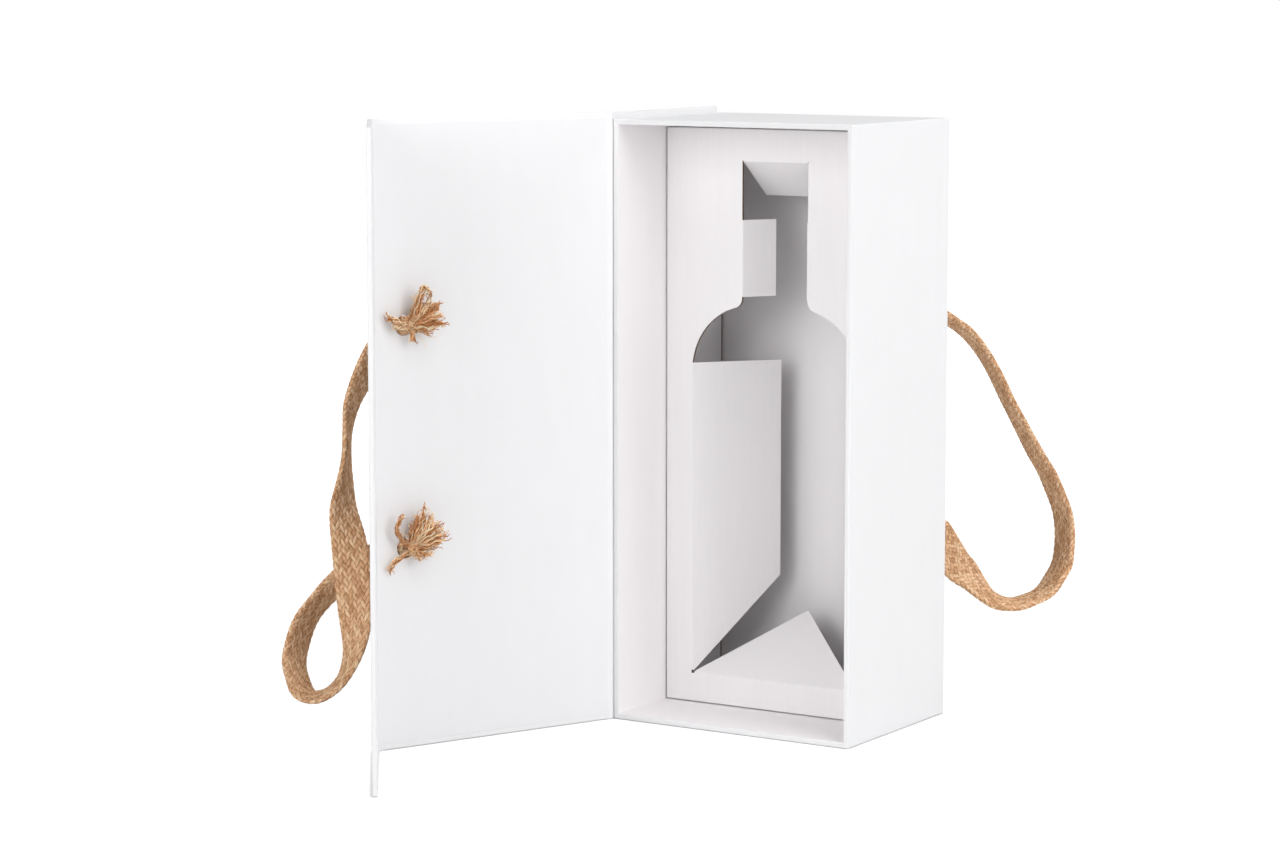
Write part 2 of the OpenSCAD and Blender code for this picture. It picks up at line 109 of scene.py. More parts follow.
# Sizes of the case and the insert that the frame's boxes don't give
FOLD_GAP = 2.6
LINING_MARGIN = 2.5
FLAP_SHORT = 4.1
FLAP_LEN = BACK_Y - FLAP_SHORT - HINGE.y
SHOULDER_R = 32
NECK_CORNER_R = 4.5
KERF = 0.8
CORNER_RELIEF = 1.5
STRAP_HOLE_D = 9
STRAP_HEIGHTS = (191, 91)
STRAP_DOOR_X = DOOR_SPAN - 15
STRAP_BACK_X = SIDE_X - 12.5


def turned(angle, axis="Z"):
    return Matrix.Rotation(math.radians(angle), 4, axis)


def moved(x, y, z=0):
    return Matrix.Translation((x, y, z))


ON_DOOR = moved(HINGE.x, HINGE.y) @ turned(-DOOR_OPEN)
ON_FLAP = ON_DOOR @ moved(DOOR_SPAN, 0) @ turned(FLAP_FOLD)
# A handle's frame: +X out of the wall, +Y sideways, +Z up
DOOR_HANDLE = ON_DOOR @ moved(STRAP_DOOR_X, -PANEL_OUT) @ turned(-90)
BACK_HANDLE = moved(STRAP_BACK_X, BACK_Y) @ turned(90)


def looking_back(azimuth, elevation):
    """The direction from the box towards a camera or a lamp."""
    a, e = math.radians(azimuth), math.radians(elevation)
    return Vector((math.sin(a) * math.cos(e), -math.cos(a) * math.cos(e), math.sin(e)))


def stand(thing, place, back):
    """Puts a camera or a lamp at a place in millimetres, looking along the opposite of back."""
    SCENE.collection.objects.link(thing)
    thing.location = place * MM
    thing.rotation_mode = "QUATERNION"
    thing.rotation_quaternion = back.to_track_quat("Z", "Y")


# Camera, at the photograph's viewing angle
PICTURE_W = 1280
FOCAL_PX = 3544.18
SENSOR_W = 36
CAMERA_AT = Vector((817.9, -1418.2, 346.2))
VIEW_AZIMUTH = 32.263
VIEW_ELEVATION = 7.295


def make_camera():
    data = bpy.data.cameras.new("camera")
    data.sensor_width = SENSOR_W
    data.lens = FOCAL_PX * SENSOR_W / PICTURE_W
    data.clip_start = 0.05
    data.clip_end = 30
    camera = bpy.data.objects.new("camera", data)
    stand(camera, CAMERA_AT, looking_back(VIEW_AZIMUTH, VIEW_ELEVATION))
    SCENE.camera = camera


make_camera()


# Materials
class Nodes:
    """The node tree of a material or the world, with short calls for the nodes that this file uses."""

    def __init__(self, owner):
        self.owner = owner
        owner.use_nodes = True
        self.tree = owner.node_tree
        self.shader = self.tree.nodes.get("Principled BSDF")

    @property
    def coordinates(self):
        return self.add("ShaderNodeTexCoord").outputs["Object"]

    def add(self, kind, inputs=None, **settings):
        node = self.tree.nodes.new(kind)
        for key, value in settings.items():
            setattr(node, key, value)
        for key, value in (inputs or {}).items():
            if isinstance(value, bpy.types.NodeSocket):
                self.tree.links.new(value, node.inputs[key])
            else:
                node.inputs[key].default_value = value
        return node

    def stretched(self, scale, source=None):
        inputs = {"Vector": source or self.coordinates, "Scale": scale}
        return self.add("ShaderNodeMapping", inputs).outputs["Vector"]

    def noise(self, vector, scale, detail=2, roughness=0.5):
        inputs = {"Vector": vector, "Scale": scale, "Detail": detail, "Roughness": roughness}
        return self.add("ShaderNodeTexNoise", inputs).outputs["Fac"]

    def ramp(self, value, stops):
        node = self.add("ShaderNodeValToRGB", {"Fac": value})
        elements = node.color_ramp.elements
        while len(elements) < len(stops):
            elements.new(0.5)
        for element, (place, colour) in zip(elements, stops):
            element.position = place
            element.color = (*colour, 1)
        return node.outputs["Color"]

    def blended(self, share, a, b):
        node = self.add("ShaderNodeMix", data_type="RGBA")
        for key, value in zip((0, 6, 7), (share, a, b)):
            if isinstance(value, bpy.types.NodeSocket):
                self.tree.links.new(value, node.inputs[key])
            else:
                node.inputs[key].default_value = value if key == 0 else (*value, 1)
        return node.outputs[2]

    def ranged(self, value, low, high):
        inputs = {"Value": value, "To Min": low, "To Max": high}
        return self.add("ShaderNodeMapRange", inputs).outputs["Result"]

    def maths(self, way, a, b):
        return self.add("ShaderNodeMath", {0: a, 1: b}, operation=way).outputs["Value"]

    def bumped(self, height, strength, distance, normal=None):
        inputs = {"Height": height, "Strength": strength, "Distance": distance}
        if normal is not None:
            inputs["Normal"] = normal
        return self.add("ShaderNodeBump", inputs).outputs["Normal"]

    def finish(self, colour, roughness, normal, specular):
        for key, value in (("Base Color", colour), ("Roughness", roughness), ("Normal", normal)):
            self.tree.links.new(value, self.shader.inputs[key])
        self.shader.inputs["Specular IOR Level"].default_value = specular
        return self.owner


def new_look(name):
    return Nodes(bpy.data.materials.new(name))


def scaled(colour, share):
    return tuple(c * share for c in colour)


def paper_material(name, colour, cloudiness, roughness):
    """Uncoated covering paper: faint clouds of formation, a grain, a fibre bump and a few grey scuffs."""
    look = new_look(name)
    clouds = look.noise(look.stretched((1, 1, 0.25)), 120, 4)
    fibres = look.noise(look.stretched((1, 1, 0.45)), 2600, 3, 0.6)
    tone = look.ramp(clouds, [(0.3, scaled(colour, 1 - cloudiness)), (0.7, colour)])
    scuffs = look.ranged(look.noise(look.stretched((1, 1, 0.2)), 140, 5, 0.7), -3.2, 2.4)
    scuffs = look.add("ShaderNodeClamp", {"Value": scuffs, "Min": 0, "Max": 0.015}).outputs["Result"]
    tone = look.blended(scuffs, tone, scaled(colour, 0.8))
    normal = look.bumped(fibres, 0.12, 0.00006)
    normal = look.bumped(look.noise(look.coordinates, 12, 1), 0.04, 0.0006, normal)
    return look.finish(tone, look.ranged(clouds, roughness - 0.05, roughness + 0.06), normal, 0.3)


# Distance between two flutes of the corrugated sheet
FLUTE_PITCH = 3.4
# How many bands a wave texture has in a metre at scale 1
WAVES_PER_METRE = 3.18


def liner_material():
    """White-faced corrugated board: fibres run up the sheet and the flutes faintly show across it."""
    look = new_look("corrugated_liner")
    streaks = look.noise(look.stretched((1, 1, 0.04)), 900, 4, 0.65)
    clouds = look.noise(look.coordinates, 45, 3)
    colour = look.ramp(streaks, [(0.25, (0.848, 0.828, 0.834)), (0.75, (0.880, 0.861, 0.867))])
    colour = look.blended(look.ranged(clouds, 0, 0.2), colour, (0.858, 0.838, 0.841))
    scale = 1 / (FLUTE_PITCH * MM * WAVES_PER_METRE)
    inputs = {"Vector": look.coordinates, "Scale": scale, "Distortion": 0.4, "Detail": 1}
    waves = look.add("ShaderNodeTexWave", inputs, bands_direction="Z")
    normal = look.bumped(streaks, 0.1, 0.00006)
    normal = look.bumped(waves.outputs["Fac"], 0.1, 0.0001, normal)
    return look.finish(colour, look.ranged(clouds, 0.72, 0.86), normal, 0.2)


def core_material():
    """Brown fluting, the inner sides of the liners, the ends of the creases and the brown strips at the
    ends of the insert's walls.
    """
    look = new_look("corrugated_core")
    fibres = look.noise(look.stretched((0.3, 1, 1)), 1500, 4, 0.7)
    dark, middle, light = (0.07, 0.04, 0.025), (0.17, 0.10, 0.062), (0.32, 0.21, 0.14)
    colour = look.ramp(fibres, [(0.25, dark), (0.55, middle), (0.8, light)])
    return look.finish(colour, look.ranged(fibres, 0.8, 0.95), look.bumped(fibres, 0.5, 0.0001), 0.15)


def edge_material():
    """Cut edges of the liners, where the brown pulp under the white face shows."""
    look = new_look("liner_edge")
    fibres = look.noise(look.coordinates, 1800, 3, 0.7)
    colour = look.ramp(fibres, [(0.3, (0.17, 0.11, 0.075)), (0.7, (0.42, 0.32, 0.245))])
    return look.finish(colour, look.ranged(fibres, 0.8, 0.95), look.bumped(fibres, 0.5, 0.00008), 0.15)


def magnet_material():
    look = new_look("magnet")
    wear = look.noise(look.coordinates, 700, 4)
    look.shader.inputs["Metallic"].default_value = 1
    colour = look.ramp(wear, [(0.3, (0.50, 0.50, 0.50)), (0.7, (0.66, 0.66, 0.67))])
    return look.finish(colour, look.ranged(wear, 0.22, 0.42), look.bumped(wear, 0.1, 0.00002), 0.5)


def jute_material(name, tones, hollow, tone_share, places):
    """Jute yarn in three tones. The piece's attributes give fibre direction, strand tone and depth. hollow
    is the colour of painted shade, to which the colour turns where the depth is low.
    """
    look = new_look(name)
    fibre = look.add("ShaderNodeAttribute", attribute_name="fibre").outputs["Vector"]
    shade = look.add("ShaderNodeAttribute", attribute_name="shade").outputs["Vector"]
    parts = look.add("ShaderNodeSeparateXYZ", {"Vector": shade})
    depth, tone = parts.outputs["X"], parts.outputs["Y"]
    hairs = look.noise(look.stretched((0.3, 1.0, 1), fibre), 1.6, 5, 0.65)
    patches = look.noise(look.stretched((0.5, 0.5, 1), fibre), 0.5, 2)
    hair_part = look.maths("MULTIPLY", hairs, 1 - tone_share)
    mixed = look.maths("ADD", hair_part, look.maths("MULTIPLY", tone, tone_share))
    colour = look.ramp(mixed, list(zip(places, tones)))
    colour = look.blended(look.ranged(patches, 0, 0.2), colour, scaled(tones[-1], 0.92))
    # Painted shade: the braid's hollows and the inside of a tuft turn to the hollow colour
    colour = look.blended(depth, hollow, colour)
    normal = look.bumped(hairs, 0.6, 0.0003)
    look.shader.inputs["Sheen Weight"].default_value = 0.03
    look.shader.inputs["Sheen Roughness"].default_value = 0.5
    look.shader.inputs["Sheen Tint"].default_value = (1.0, 0.88, 0.74, 1)
    return look.finish(colour, look.ranged(hairs, 0.75, 0.92), normal, 0.1)


WHITE_PAPER = paper_material("white_paper", (0.885, 0.885, 0.897), 0.012, 0.58)
# The lining of the door and flap is a greyer copy of the paper: painted shade, as the door's inner face
# takes more light than the walls
SHADED_LINING_PAPER = paper_material("lining_paper", (0.862, 0.862, 0.874), 0.012, 0.62)
# The lining inside the tray is a lighter copy of the paper: painted light that lifts the tray's shaded
# inside
LIT_TRAY_LINING = paper_material("lit_tray_lining_paper", (0.93, 0.908, 0.914), 0.012, 0.62)
# Where the covering paper is drawn over the narrow edge of a board it is a little greyer: painted shade,
# which keeps these edges from showing brighter than the broad faces
EDGE_SHADE_PAPER = paper_material("edge_shade_paper", (0.80, 0.798, 0.808), 0.012, 0.6)
LINER = liner_material()
CORE = core_material()
EDGE = edge_material()
MAGNET = magnet_material()
# The third value of each jute material is the colour of its painted shade in the hollows
JUTE_TONES = ((0.42, 0.195, 0.085), (0.80, 0.455, 0.245), (0.98, 0.72, 0.475))
JUTE = jute_material("jute", JUTE_TONES, (0.25, 0.10, 0.036), 0.2, (0.34, 0.49, 0.64))
FRAYED_TONES = ((0.48, 0.17, 0.046), (1.0, 0.50, 0.215), (1.0, 0.80, 0.53))
FRAYED = jute_material("frayed_jute", FRAYED_TONES, (0.26, 0.08, 0.02), 0.45, (0.33, 0.47, 0.62))


# Mesh helpers
def new_piece(name, points, faces, materials, matrix=None, smooth=False, slots=None):
    """A mesh from points in millimetres. slots gives each face's material, by its place in materials."""
    points = np.asarray(points, float)
    if matrix is not None:
        placing = np.array(matrix)
        points = points @ placing[:3, :3].T + placing[:3, 3]
    mesh = bpy.data.meshes.new(name)
    mesh.from_pydata((points * MM).tolist(), [], [list(map(int, f)) for f in faces])
    for material in materials:
        mesh.materials.append(material)
    if slots is not None:
        mesh.polygons.foreach_set("material_index", np.asarray(slots, np.int32))
    mesh.polygons.foreach_set("use_smooth", np.full(len(mesh.polygons), smooth))
    mesh.validate()
    mesh.update()
    piece = bpy.data.objects.new(name, mesh)
    SCENE.collection.objects.link(piece)
    return piece


def dressed(piece, body, slot, *nodes):
    """Hangs a piece on its body and hides the nodes that it stands for. The finish, slot, is not used."""
    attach(piece, body)
    if nodes:
        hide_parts(*nodes)
    return piece


def unit(vectors):
    """Vectors scaled to length one. A vector of no length stays as it is."""
    lengths = np.linalg.norm(vectors, axis=-1, keepdims=True)
    return vectors / np.where(lengths > 0, lengths, 1)


def travelled(line):
    """How far along a line each of its points lies."""
    return np.concatenate([[0], np.cumsum(np.linalg.norm(np.diff(line, axis=0), axis=1))])


def across_from(along, helper):
    """Two directions at each point of a line, square to it and to each other."""
    first = unit(np.cross(along, helper))
    return first, np.cross(along, first)


def ring_faces(rings, sides):
    """Faces between rings of points that follow each other, and a cap at either end."""
    ring = np.arange(rings - 1)[:, None] * sides
    j = np.arange(sides)[None, :]
    k = (j + 1) % sides
    quads = np.stack([ring + j, ring + k, ring + sides + k, ring + sides + j], -1).reshape(-1, 4)
    last = (rings - 1) * sides
    return quads, [list(range(sides))[::-1], list(range(last, last + sides))]


def smooth_line(points, steps):
    """A smooth curve through points: steps pieces between each pair."""
    p = np.asarray(points, float)
    last = len(p) - 1
    made = []
    for i in range(last):
        a, b, c, d = p[max(i - 1, 0)], p[i], p[i + 1], p[min(i + 2, last)]
        for k in range(steps):
            s = k / steps
            made.append(0.5 * (2 * b + (c - a) * s + (2 * a - 5 * b + 4 * c - d) * s ** 2
                               + (3 * b - a - 3 * c + d) * s ** 3))
    made.append(p[last])
    return np.array(made)


def at_matrix(piece, matrix):
    """Moves a piece's mesh by a matrix in millimetres."""
    in_metres = matrix.copy()
    in_metres.translation = matrix.translation * MM
    piece.data.transform(in_metres)
    return in_metres


# Edges are rounded, or stay sharp in shading, from these angles on
ROUNDED_ABOVE = 40
FOLD_SHARP_ABOVE = 50
BOARD_SHARP_ABOVE = 35
BOX_FACES = [(0, 1, 3, 2), (4, 6, 7, 5), (0, 4, 5, 1), (2, 3, 7, 6), (0, 2, 6, 4), (1, 5, 7, 3)]


def box_points(low, high):
    return [(x, y, z) for x in (low[0], high[0]) for y in (low[1], high[1]) for z in (low[2], high[2])]


def rod_points(x, z, radius, y0, y1, sides):
    """A closed rod along Y."""
    ring = [(x + radius * math.cos(2 * math.pi * i / sides), z + radius * math.sin(2 * math.pi * i / sides))
            for i in range(sides)]
    points = [(px, y, pz) for y in (y0, y1) for px, pz in ring]
    faces = [(i, sides + i, sides + (i + 1) % sides, (i + 1) % sides) for i in range(sides)]
    faces += [tuple(range(sides)), tuple(reversed(range(sides, 2 * sides)))]
    return points, faces


def baked(piece):
    """Applies a piece's modifiers."""
    graph = bpy.context.evaluated_depsgraph_get()
    graph.update()
    mesh = bpy.data.meshes.new_from_object(piece.evaluated_get(graph))
    piece.modifiers.clear()
    old = piece.data
    piece.data = mesh
    mesh.name = piece.name
    bpy.data.meshes.remove(old)


def cut_and_rounded(piece, cutters, radius, segments=3):
    """Cuts the piece with closed solids, rounds its edges and keeps its flat faces flat in shading."""
    tools = []
    for number, (points, faces) in enumerate(cutters):
        tool = new_piece(f"cutter_{number}", points, faces, [], piece.matrix_world)
        tools.append(tool)
        cut = piece.modifiers.new(f"cut_{number}", "BOOLEAN")
        cut.operation = "DIFFERENCE"
        cut.solver = "EXACT"
        cut.object = tool
    bevel = piece.modifiers.new("round", "BEVEL")
    bevel.width = radius * MM
    bevel.segments = segments
    bevel.limit_method = "ANGLE"
    bevel.angle_limit = math.radians(ROUNDED_ABOVE)
    normals = piece.modifiers.new("normals", "WEIGHTED_NORMAL")
    normals.weight = 100
    baked(piece)
    for tool in tools:
        bpy.data.objects.remove(tool)


def rounded_box(name, low, high, radius, material, matrix=None, cutters=()):
    """A box with rounded edges. The cutters are placed in the box's own frame."""
    piece = new_piece(name, box_points(low, high), BOX_FACES, [material], None, True)
    cut_and_rounded(piece, cutters, radius)
    if matrix is not None:
        at_matrix(piece, matrix)
    return piece


# Tray and case
EDGE_R = 0.5
RIM_R = 0.45
SHEET_EDGE_R = 0.1
SPINE_GAP = 0.25
HOLE_SIDES = 40
BEYOND = 3
# The lining paper lies on the turned-in covering paper
UNDER_LINING = 0.06
# A face counts as lying at a wall when it is this close
NEAR = 0.02
# The folded paper is held this far on either panel, and leaves the spine this far from the hinge
FOLD_HELD = 0.5
FOLD_START = 0.15
FOLD_BACK = 0.2


def strap_holes(x, y0, y1):
    return [rod_points(x, z, STRAP_HOLE_D / 2, y0, y1, HOLE_SIDES) for z in STRAP_HEIGHTS]


def line_tray(cover):
    """Gives the faces inside the tray the lighter lining paper, which is painted light in the tray's shade.
    """
    cover.data.materials.append(LIT_TRAY_LINING)
    for face in cover.data.polygons:
        x, y, z = face.center / MM
        inside = abs(x) < SIDE_X - WALL_T + NEAR and WALL_T - NEAR < z < TRAY_H - WALL_T + NEAR
        if inside and FRONT_Y + RIM_R < y < BACK_Y - WALL_T + NEAR:
            face.material_index = 1


def shade_edge(cover, chosen):
    """Gives the greyer paper, which is painted shade, to the faces that chosen picks by their middle."""
    cover.data.materials.append(EDGE_SHADE_PAPER)
    for face in cover.data.polygons:
        if chosen(face.center / MM):
            face.material_index = len(cover.data.materials) - 1


def make_tray():
    hollow = (box_points((-SIDE_X + WALL_T, FRONT_Y - BEYOND, WALL_T),
                         (SIDE_X - WALL_T, BACK_Y - WALL_T, TRAY_H - WALL_T)), BOX_FACES)
    holes = strap_holes(STRAP_BACK_X, BACK_Y - WALL_T - BEYOND, BACK_Y + BEYOND)
    cover = rounded_box("tray_cover", (-SIDE_X, FRONT_Y, 0), (SIDE_X, BACK_Y, TRAY_H), RIM_R, WHITE_PAPER,
                        None, [hollow, *holes])
    line_tray(cover)
    # Painted shade on the tray's front rim
    shade_edge(cover, lambda middle: middle.y < FRONT_Y + RIM_R / 2)
    dressed(cover, "tray", "white_paper", "tray_wrap", "tray_lining", "tray_base_paper", "tray_back_board",
            "tray_left_board", "tray_right_board", "tray_top_board", "tray_base_board")
    spine_x1 = -SIDE_X - SPINE_GAP
    spine = rounded_box("spine_cover", (-SIDE_X - PANEL_OUT, FRONT_Y, 0), (spine_x1, BACK_Y, CASE_H),
                        EDGE_R, WHITE_PAPER)
    # Painted shade on the spine's face at the hinge gap
    shade_edge(spine, lambda middle: middle.x > spine_x1 - EDGE_R / 2)
    dressed(spine, "tray", "white_paper", "spine_wrap", "spine_board")


def make_panel(body, matrix, x1, lining_x1, holes):
    """A wrapped panel of the case with its lining sheet, from its fold to x1. The lined side is +Y."""
    low, high = (FOLD_GAP - PAPER_T, -PANEL_OUT, 0), (x1, UNDER_LINING, CASE_H)
    cover = rounded_box(f"{body}_cover", low, high, EDGE_R, WHITE_PAPER, matrix, holes)
    low, high = (FOLD_GAP, UNDER_LINING / 2, LINING_MARGIN), (lining_x1, PAPER_T, CASE_H - LINING_MARGIN)
    lining = rounded_box(f"{body}_lining_sheet", low, high, SHEET_EDGE_R, SHADED_LINING_PAPER, matrix, holes)
    dressed(cover, body, "white_paper", f"{body}_wrap", f"{body}_board")
    dressed(lining, body, "lining_paper", f"{body}_lining")
    return cover


def make_case():
    holes = strap_holes(STRAP_DOOR_X, -PANEL_OUT - BEYOND, BEYOND)
    make_panel("door", ON_DOOR, DOOR_SPAN - FOLD_GAP + PAPER_T, DOOR_SPAN - SHEET_EDGE_R, holes)
    flap = make_panel("flap", ON_FLAP, FLAP_LEN, FLAP_LEN - LINING_MARGIN, [])
    to_flap = ON_FLAP.inverted()
    # Painted shade on the flap's free end
    shade_edge(flap, lambda middle: (to_flap @ middle).x > FLAP_LEN - EDGE_R / 2)


def fold_paper(name, line):
    """Doubled paper that hinges two panels: a strip along a line, bent where the line bends."""
    middle = smooth_line([(v.x, v.y, 0) for v in line], 5)
    along = unit(np.gradient(middle, axis=0))
    side = np.stack([-along[:, 1], along[:, 0], along[:, 2]], 1)
    half_t = PAPER_T - UNDER_LINING
    outline = np.concatenate([middle + side * half_t, (middle - side * half_t)[::-1]])
    count, half = len(outline), len(middle)
    heights = (UNDER_LINING, CASE_H - UNDER_LINING)
    points = np.concatenate([outline + (0, 0, z) for z in heights])
    faces = [(i, (i + 1) % count, count + (i + 1) % count, count + i) for i in range(count)]
    for base in (0, count):
        end = base + count - 1
        faces += [(base + i, base + i + 1, end - 1 - i, end - i) for i in range(half - 1)]
    piece = new_piece(name, points, faces, [WHITE_PAPER], None, True)
    shell = bmesh.new()
    shell.from_mesh(piece.data)
    bmesh.ops.recalc_face_normals(shell, faces=shell.faces)
    shell.to_mesh(piece.data)
    shell.free()
    piece.data.set_sharp_from_angle(angle=math.radians(FOLD_SHARP_ABOVE))
    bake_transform(piece)


def make_folds():
    def on_door(x):
        return ON_DOOR @ Vector((x, 0, 0))

    def on_flap(x):
        return ON_FLAP @ Vector((x, 0, 0))

    spine_edge = Vector((HINGE.x - FOLD_START, FRONT_Y, 0))
    door_start = on_door(FOLD_GAP - PAPER_T)
    line = [spine_edge + Vector((-FOLD_BACK, FOLD_HELD, 0)), spine_edge, Vector((HINGE.x, HINGE.y, 0)),
            on_door(FOLD_GAP / 2), door_start, on_door(FOLD_GAP + FOLD_HELD)]
    fold_paper("spine_fold_paper", line)
    door_end = on_door(DOOR_SPAN - FOLD_GAP + PAPER_T)
    flap_start = on_flap(FOLD_GAP - PAPER_T)
    line = [on_door(DOOR_SPAN - FOLD_GAP - FOLD_HELD), door_end, on_door(DOOR_SPAN - FOLD_GAP / 3),
            on_door(DOOR_SPAN), on_flap(FOLD_GAP / 3), flap_start, on_flap(FOLD_GAP + FOLD_HELD)]
    fold_paper("flap_fold_paper", line)


# Corrugated insert
LINER_T = 0.28
MEDIUM_T = 0.16
FLUTE_STEPS = 12
FOLD_R = 0.55
FRAME_W = 3.2
ROOT_SIDES = 28
# The insert's face and side walls stand this far from the tray's walls, and its walls end short of the back
FACE_INSET = 0.45
# Under the tray's top wall a dark line shows above the insert, which is this much lower than its solid
TOP_INSET = 0.75
WALL_SHORT = 1.3
END_STRIP = 0.8
# Half the width that the fluting keeps at a flap's point
POINT_HALF = 0.02


def prism(outline, holes, y0, y1):
    """A closed sheet between y0 and y1, as points, faces and kinds of face. Outlines are (x, z) loops."""
    loops = [outline, *holes]
    flat = [p for loop in loops for p in loop]
    count = len(flat)
    points = [(x, y, z) for y in (y0, y1) for x, z in flat]
    fills = tessellate_polygon([[Vector((x, z, 0)) for x, z in loop] for loop in loops])
    faces, kinds = [], []
    for a, b, c in fills:
        ax, az = flat[a]
        bx, bz = flat[b]
        cx, cz = flat[c]
        if (bx - ax) * (cz - az) - (bz - az) * (cx - ax) < 0:
            b, c = c, b
        faces += [(a, b, c), (count + a, count + c, count + b)]
        kinds += ["front", "back"]
    start = 0
    for number, loop in enumerate(loops):
        size = len(loop)
        area = sum(loop[i - 1][0] * loop[i][1] - loop[i][0] * loop[i - 1][1] for i in range(size))
        outward = (area > 0) == (number == 0)
        for i in range(size):
            a, b = start + i, start + (i + 1) % size
            face = (a, count + a, count + b, b) if outward else (a, b, count + b, count + a)
            faces.append(face)
            kinds.append("edge")
        start += size
    return points, faces, kinds


def fluting(spans, z0, z1):
    """The wavy middle layer as a closed sheet. spans(z) gives the two ends of the sheet at that height."""
    rows = max(2, round((z1 - z0) / FLUTE_PITCH * FLUTE_STEPS))
    swing = SHEET_T / 2 - LINER_T - MEDIUM_T / 2
    points = []
    for i in range(rows + 1):
        z = z0 + (z1 - z0) * i / rows
        phase = 2 * math.pi * z / FLUTE_PITCH
        y = swing * math.cos(phase)
        slope = -swing * 2 * math.pi / FLUTE_PITCH * math.sin(phase)
        length = math.hypot(1, slope)
        ny, nz = MEDIUM_T / 2 / length, -slope * MEDIUM_T / 2 / length
        x0, x1 = spans(z)
        for side in (-1, 1):
            lifted = min(max(z + side * nz, z0), z1)
            points += [(x0, y + side * ny, lifted), (x1, y + side * ny, lifted)]
    faces = []
    for i in range(rows):
        a, b = 4 * i, 4 * i + 4
        faces += [(a, a + 1, b + 1, b), (a + 2, b + 2, b + 3, a + 3), (a, b, b + 2, a + 2),
                  (a + 1, a + 3, b + 3, b + 1)]
    top = 4 * rows
    faces += [(0, 2, 3, 1), (top, top + 1, top + 3, top + 2)]
    return points, faces, ["core"] * len(faces)


def root_rod(start, length, radius, along_x):
    """The rounded crease at the foot of a flap."""
    points, faces = rod_points(0, 0, radius, start, start + length, ROOT_SIDES)
    if along_x:
        points = [(y, z, x) for x, y, z in points]
    else:
        points = [(x, z, y) for x, y, z in points]
        faces = [tuple(reversed(f)) for f in faces]
    kinds = ["front"] * ROOT_SIDES + ["core"] * 2
    return points, faces, kinds


KIND_SLOTS = {"front": 0, "back": 0, "core": 1, "edge": 2}


def joined(parts):
    points, faces, kinds = [], [], []
    for some_points, some_faces, some_kinds in parts:
        base = len(points)
        points += list(some_points)
        faces += [tuple(base + i for i in f) for f in some_faces]
        kinds += some_kinds
    return points, faces, kinds


def board_piece(name, parts, matrix):
    points, faces, kinds = joined(parts)
    slots = [KIND_SLOTS[k] for k in kinds]
    piece = new_piece(name, points, faces, [LINER, CORE, EDGE], matrix, True, slots)
    piece.data.set_sharp_from_angle(angle=math.radians(BOARD_SHARP_ABOVE))
    return piece


def board_sheet(outline, holes=()):
    """The two liners of a flat piece of corrugated board, centred on y = 0."""
    half = SHEET_T / 2
    front = prism(outline, holes, -half, -half + LINER_T)
    back = prism(outline, holes, half - LINER_T, half)
    made = []
    for (points, faces, kinds), inside in ((front, "back"), (back, "front")):
        made.append((points, faces, ["core" if k == inside else k for k in kinds]))
    return made


def shoulder_values():
    """Centre of the shoulder arc, centre of the neck's corner and the angle of the line between them."""
    arc_x = HALF_BODY - SHOULDER_R
    corner_x = HALF_NECK + NECK_CORNER_R
    corner_z = NECK_FOOT - KERF
    arc_z = corner_z - math.sqrt((SHOULDER_R + NECK_CORNER_R) ** 2 - (corner_x - arc_x) ** 2)
    return arc_x, arc_z, corner_x, corner_z, math.atan2(corner_z - arc_z, corner_x - arc_x)


ARC_STEPS = 30
CORNER_STEPS = 8


def half_outline():
    """Right half of the cut-out, from its foot to its top, about the cut-out's middle."""
    arc_x, arc_z, corner_x, corner_z, meet = shoulder_values()
    line = [(HALF_BODY, CUT_FOOT), (HALF_BODY, BODY_TOP)]
    first = math.asin((BODY_TOP - arc_z) / SHOULDER_R)
    for i in range(ARC_STEPS + 1):
        a = first + (meet - first) * i / ARC_STEPS
        line.append((arc_x + SHOULDER_R * math.cos(a), arc_z + SHOULDER_R * math.sin(a)))
    for i in range(1, CORNER_STEPS + 1):
        a = meet + math.pi + (math.pi - meet - math.pi) * i / CORNER_STEPS
        line.append((corner_x + NECK_CORNER_R * math.cos(a), corner_z + NECK_CORNER_R * math.sin(a)))
    line.append((HALF_NECK, CUT_TOP))
    return line


def cut_half_width(z):
    line = half_outline()
    return float(np.interp(z, [p[1] for p in line], [p[0] for p in line]))


def picture_frame(x0, x1, z0, z1):
    """The folded rim of the insert's face: a ring with its outer front edge rounded."""
    half = SHEET_T / 2
    turns = [math.radians(90 * i / 5) for i in range(6)]
    profile = [(FRAME_W, -half)]
    profile += [(FOLD_R * (1 - math.sin(a)), -half + FOLD_R * (1 - math.cos(a))) for a in turns]
    profile += [(0, half), (FRAME_W, half)]
    points, faces = [], []
    for sx, sz in ((0, 0), (1, 0), (1, 1), (0, 1)):
        for inset, y in profile:
            x = x1 - inset if sx else x0 + inset
            z = z1 - inset if sz else z0 + inset
            points.append((x, y, z))
    size = len(profile)
    for side in range(4):
        for i in range(size):
            a, b = side * size + i, side * size + (i + 1) % size
            c, d = (side + 1) % 4 * size + (i + 1) % size, (side + 1) % 4 * size + i
            faces.append((a, b, c, d))
    return points, faces, ["front"] * len(faces)


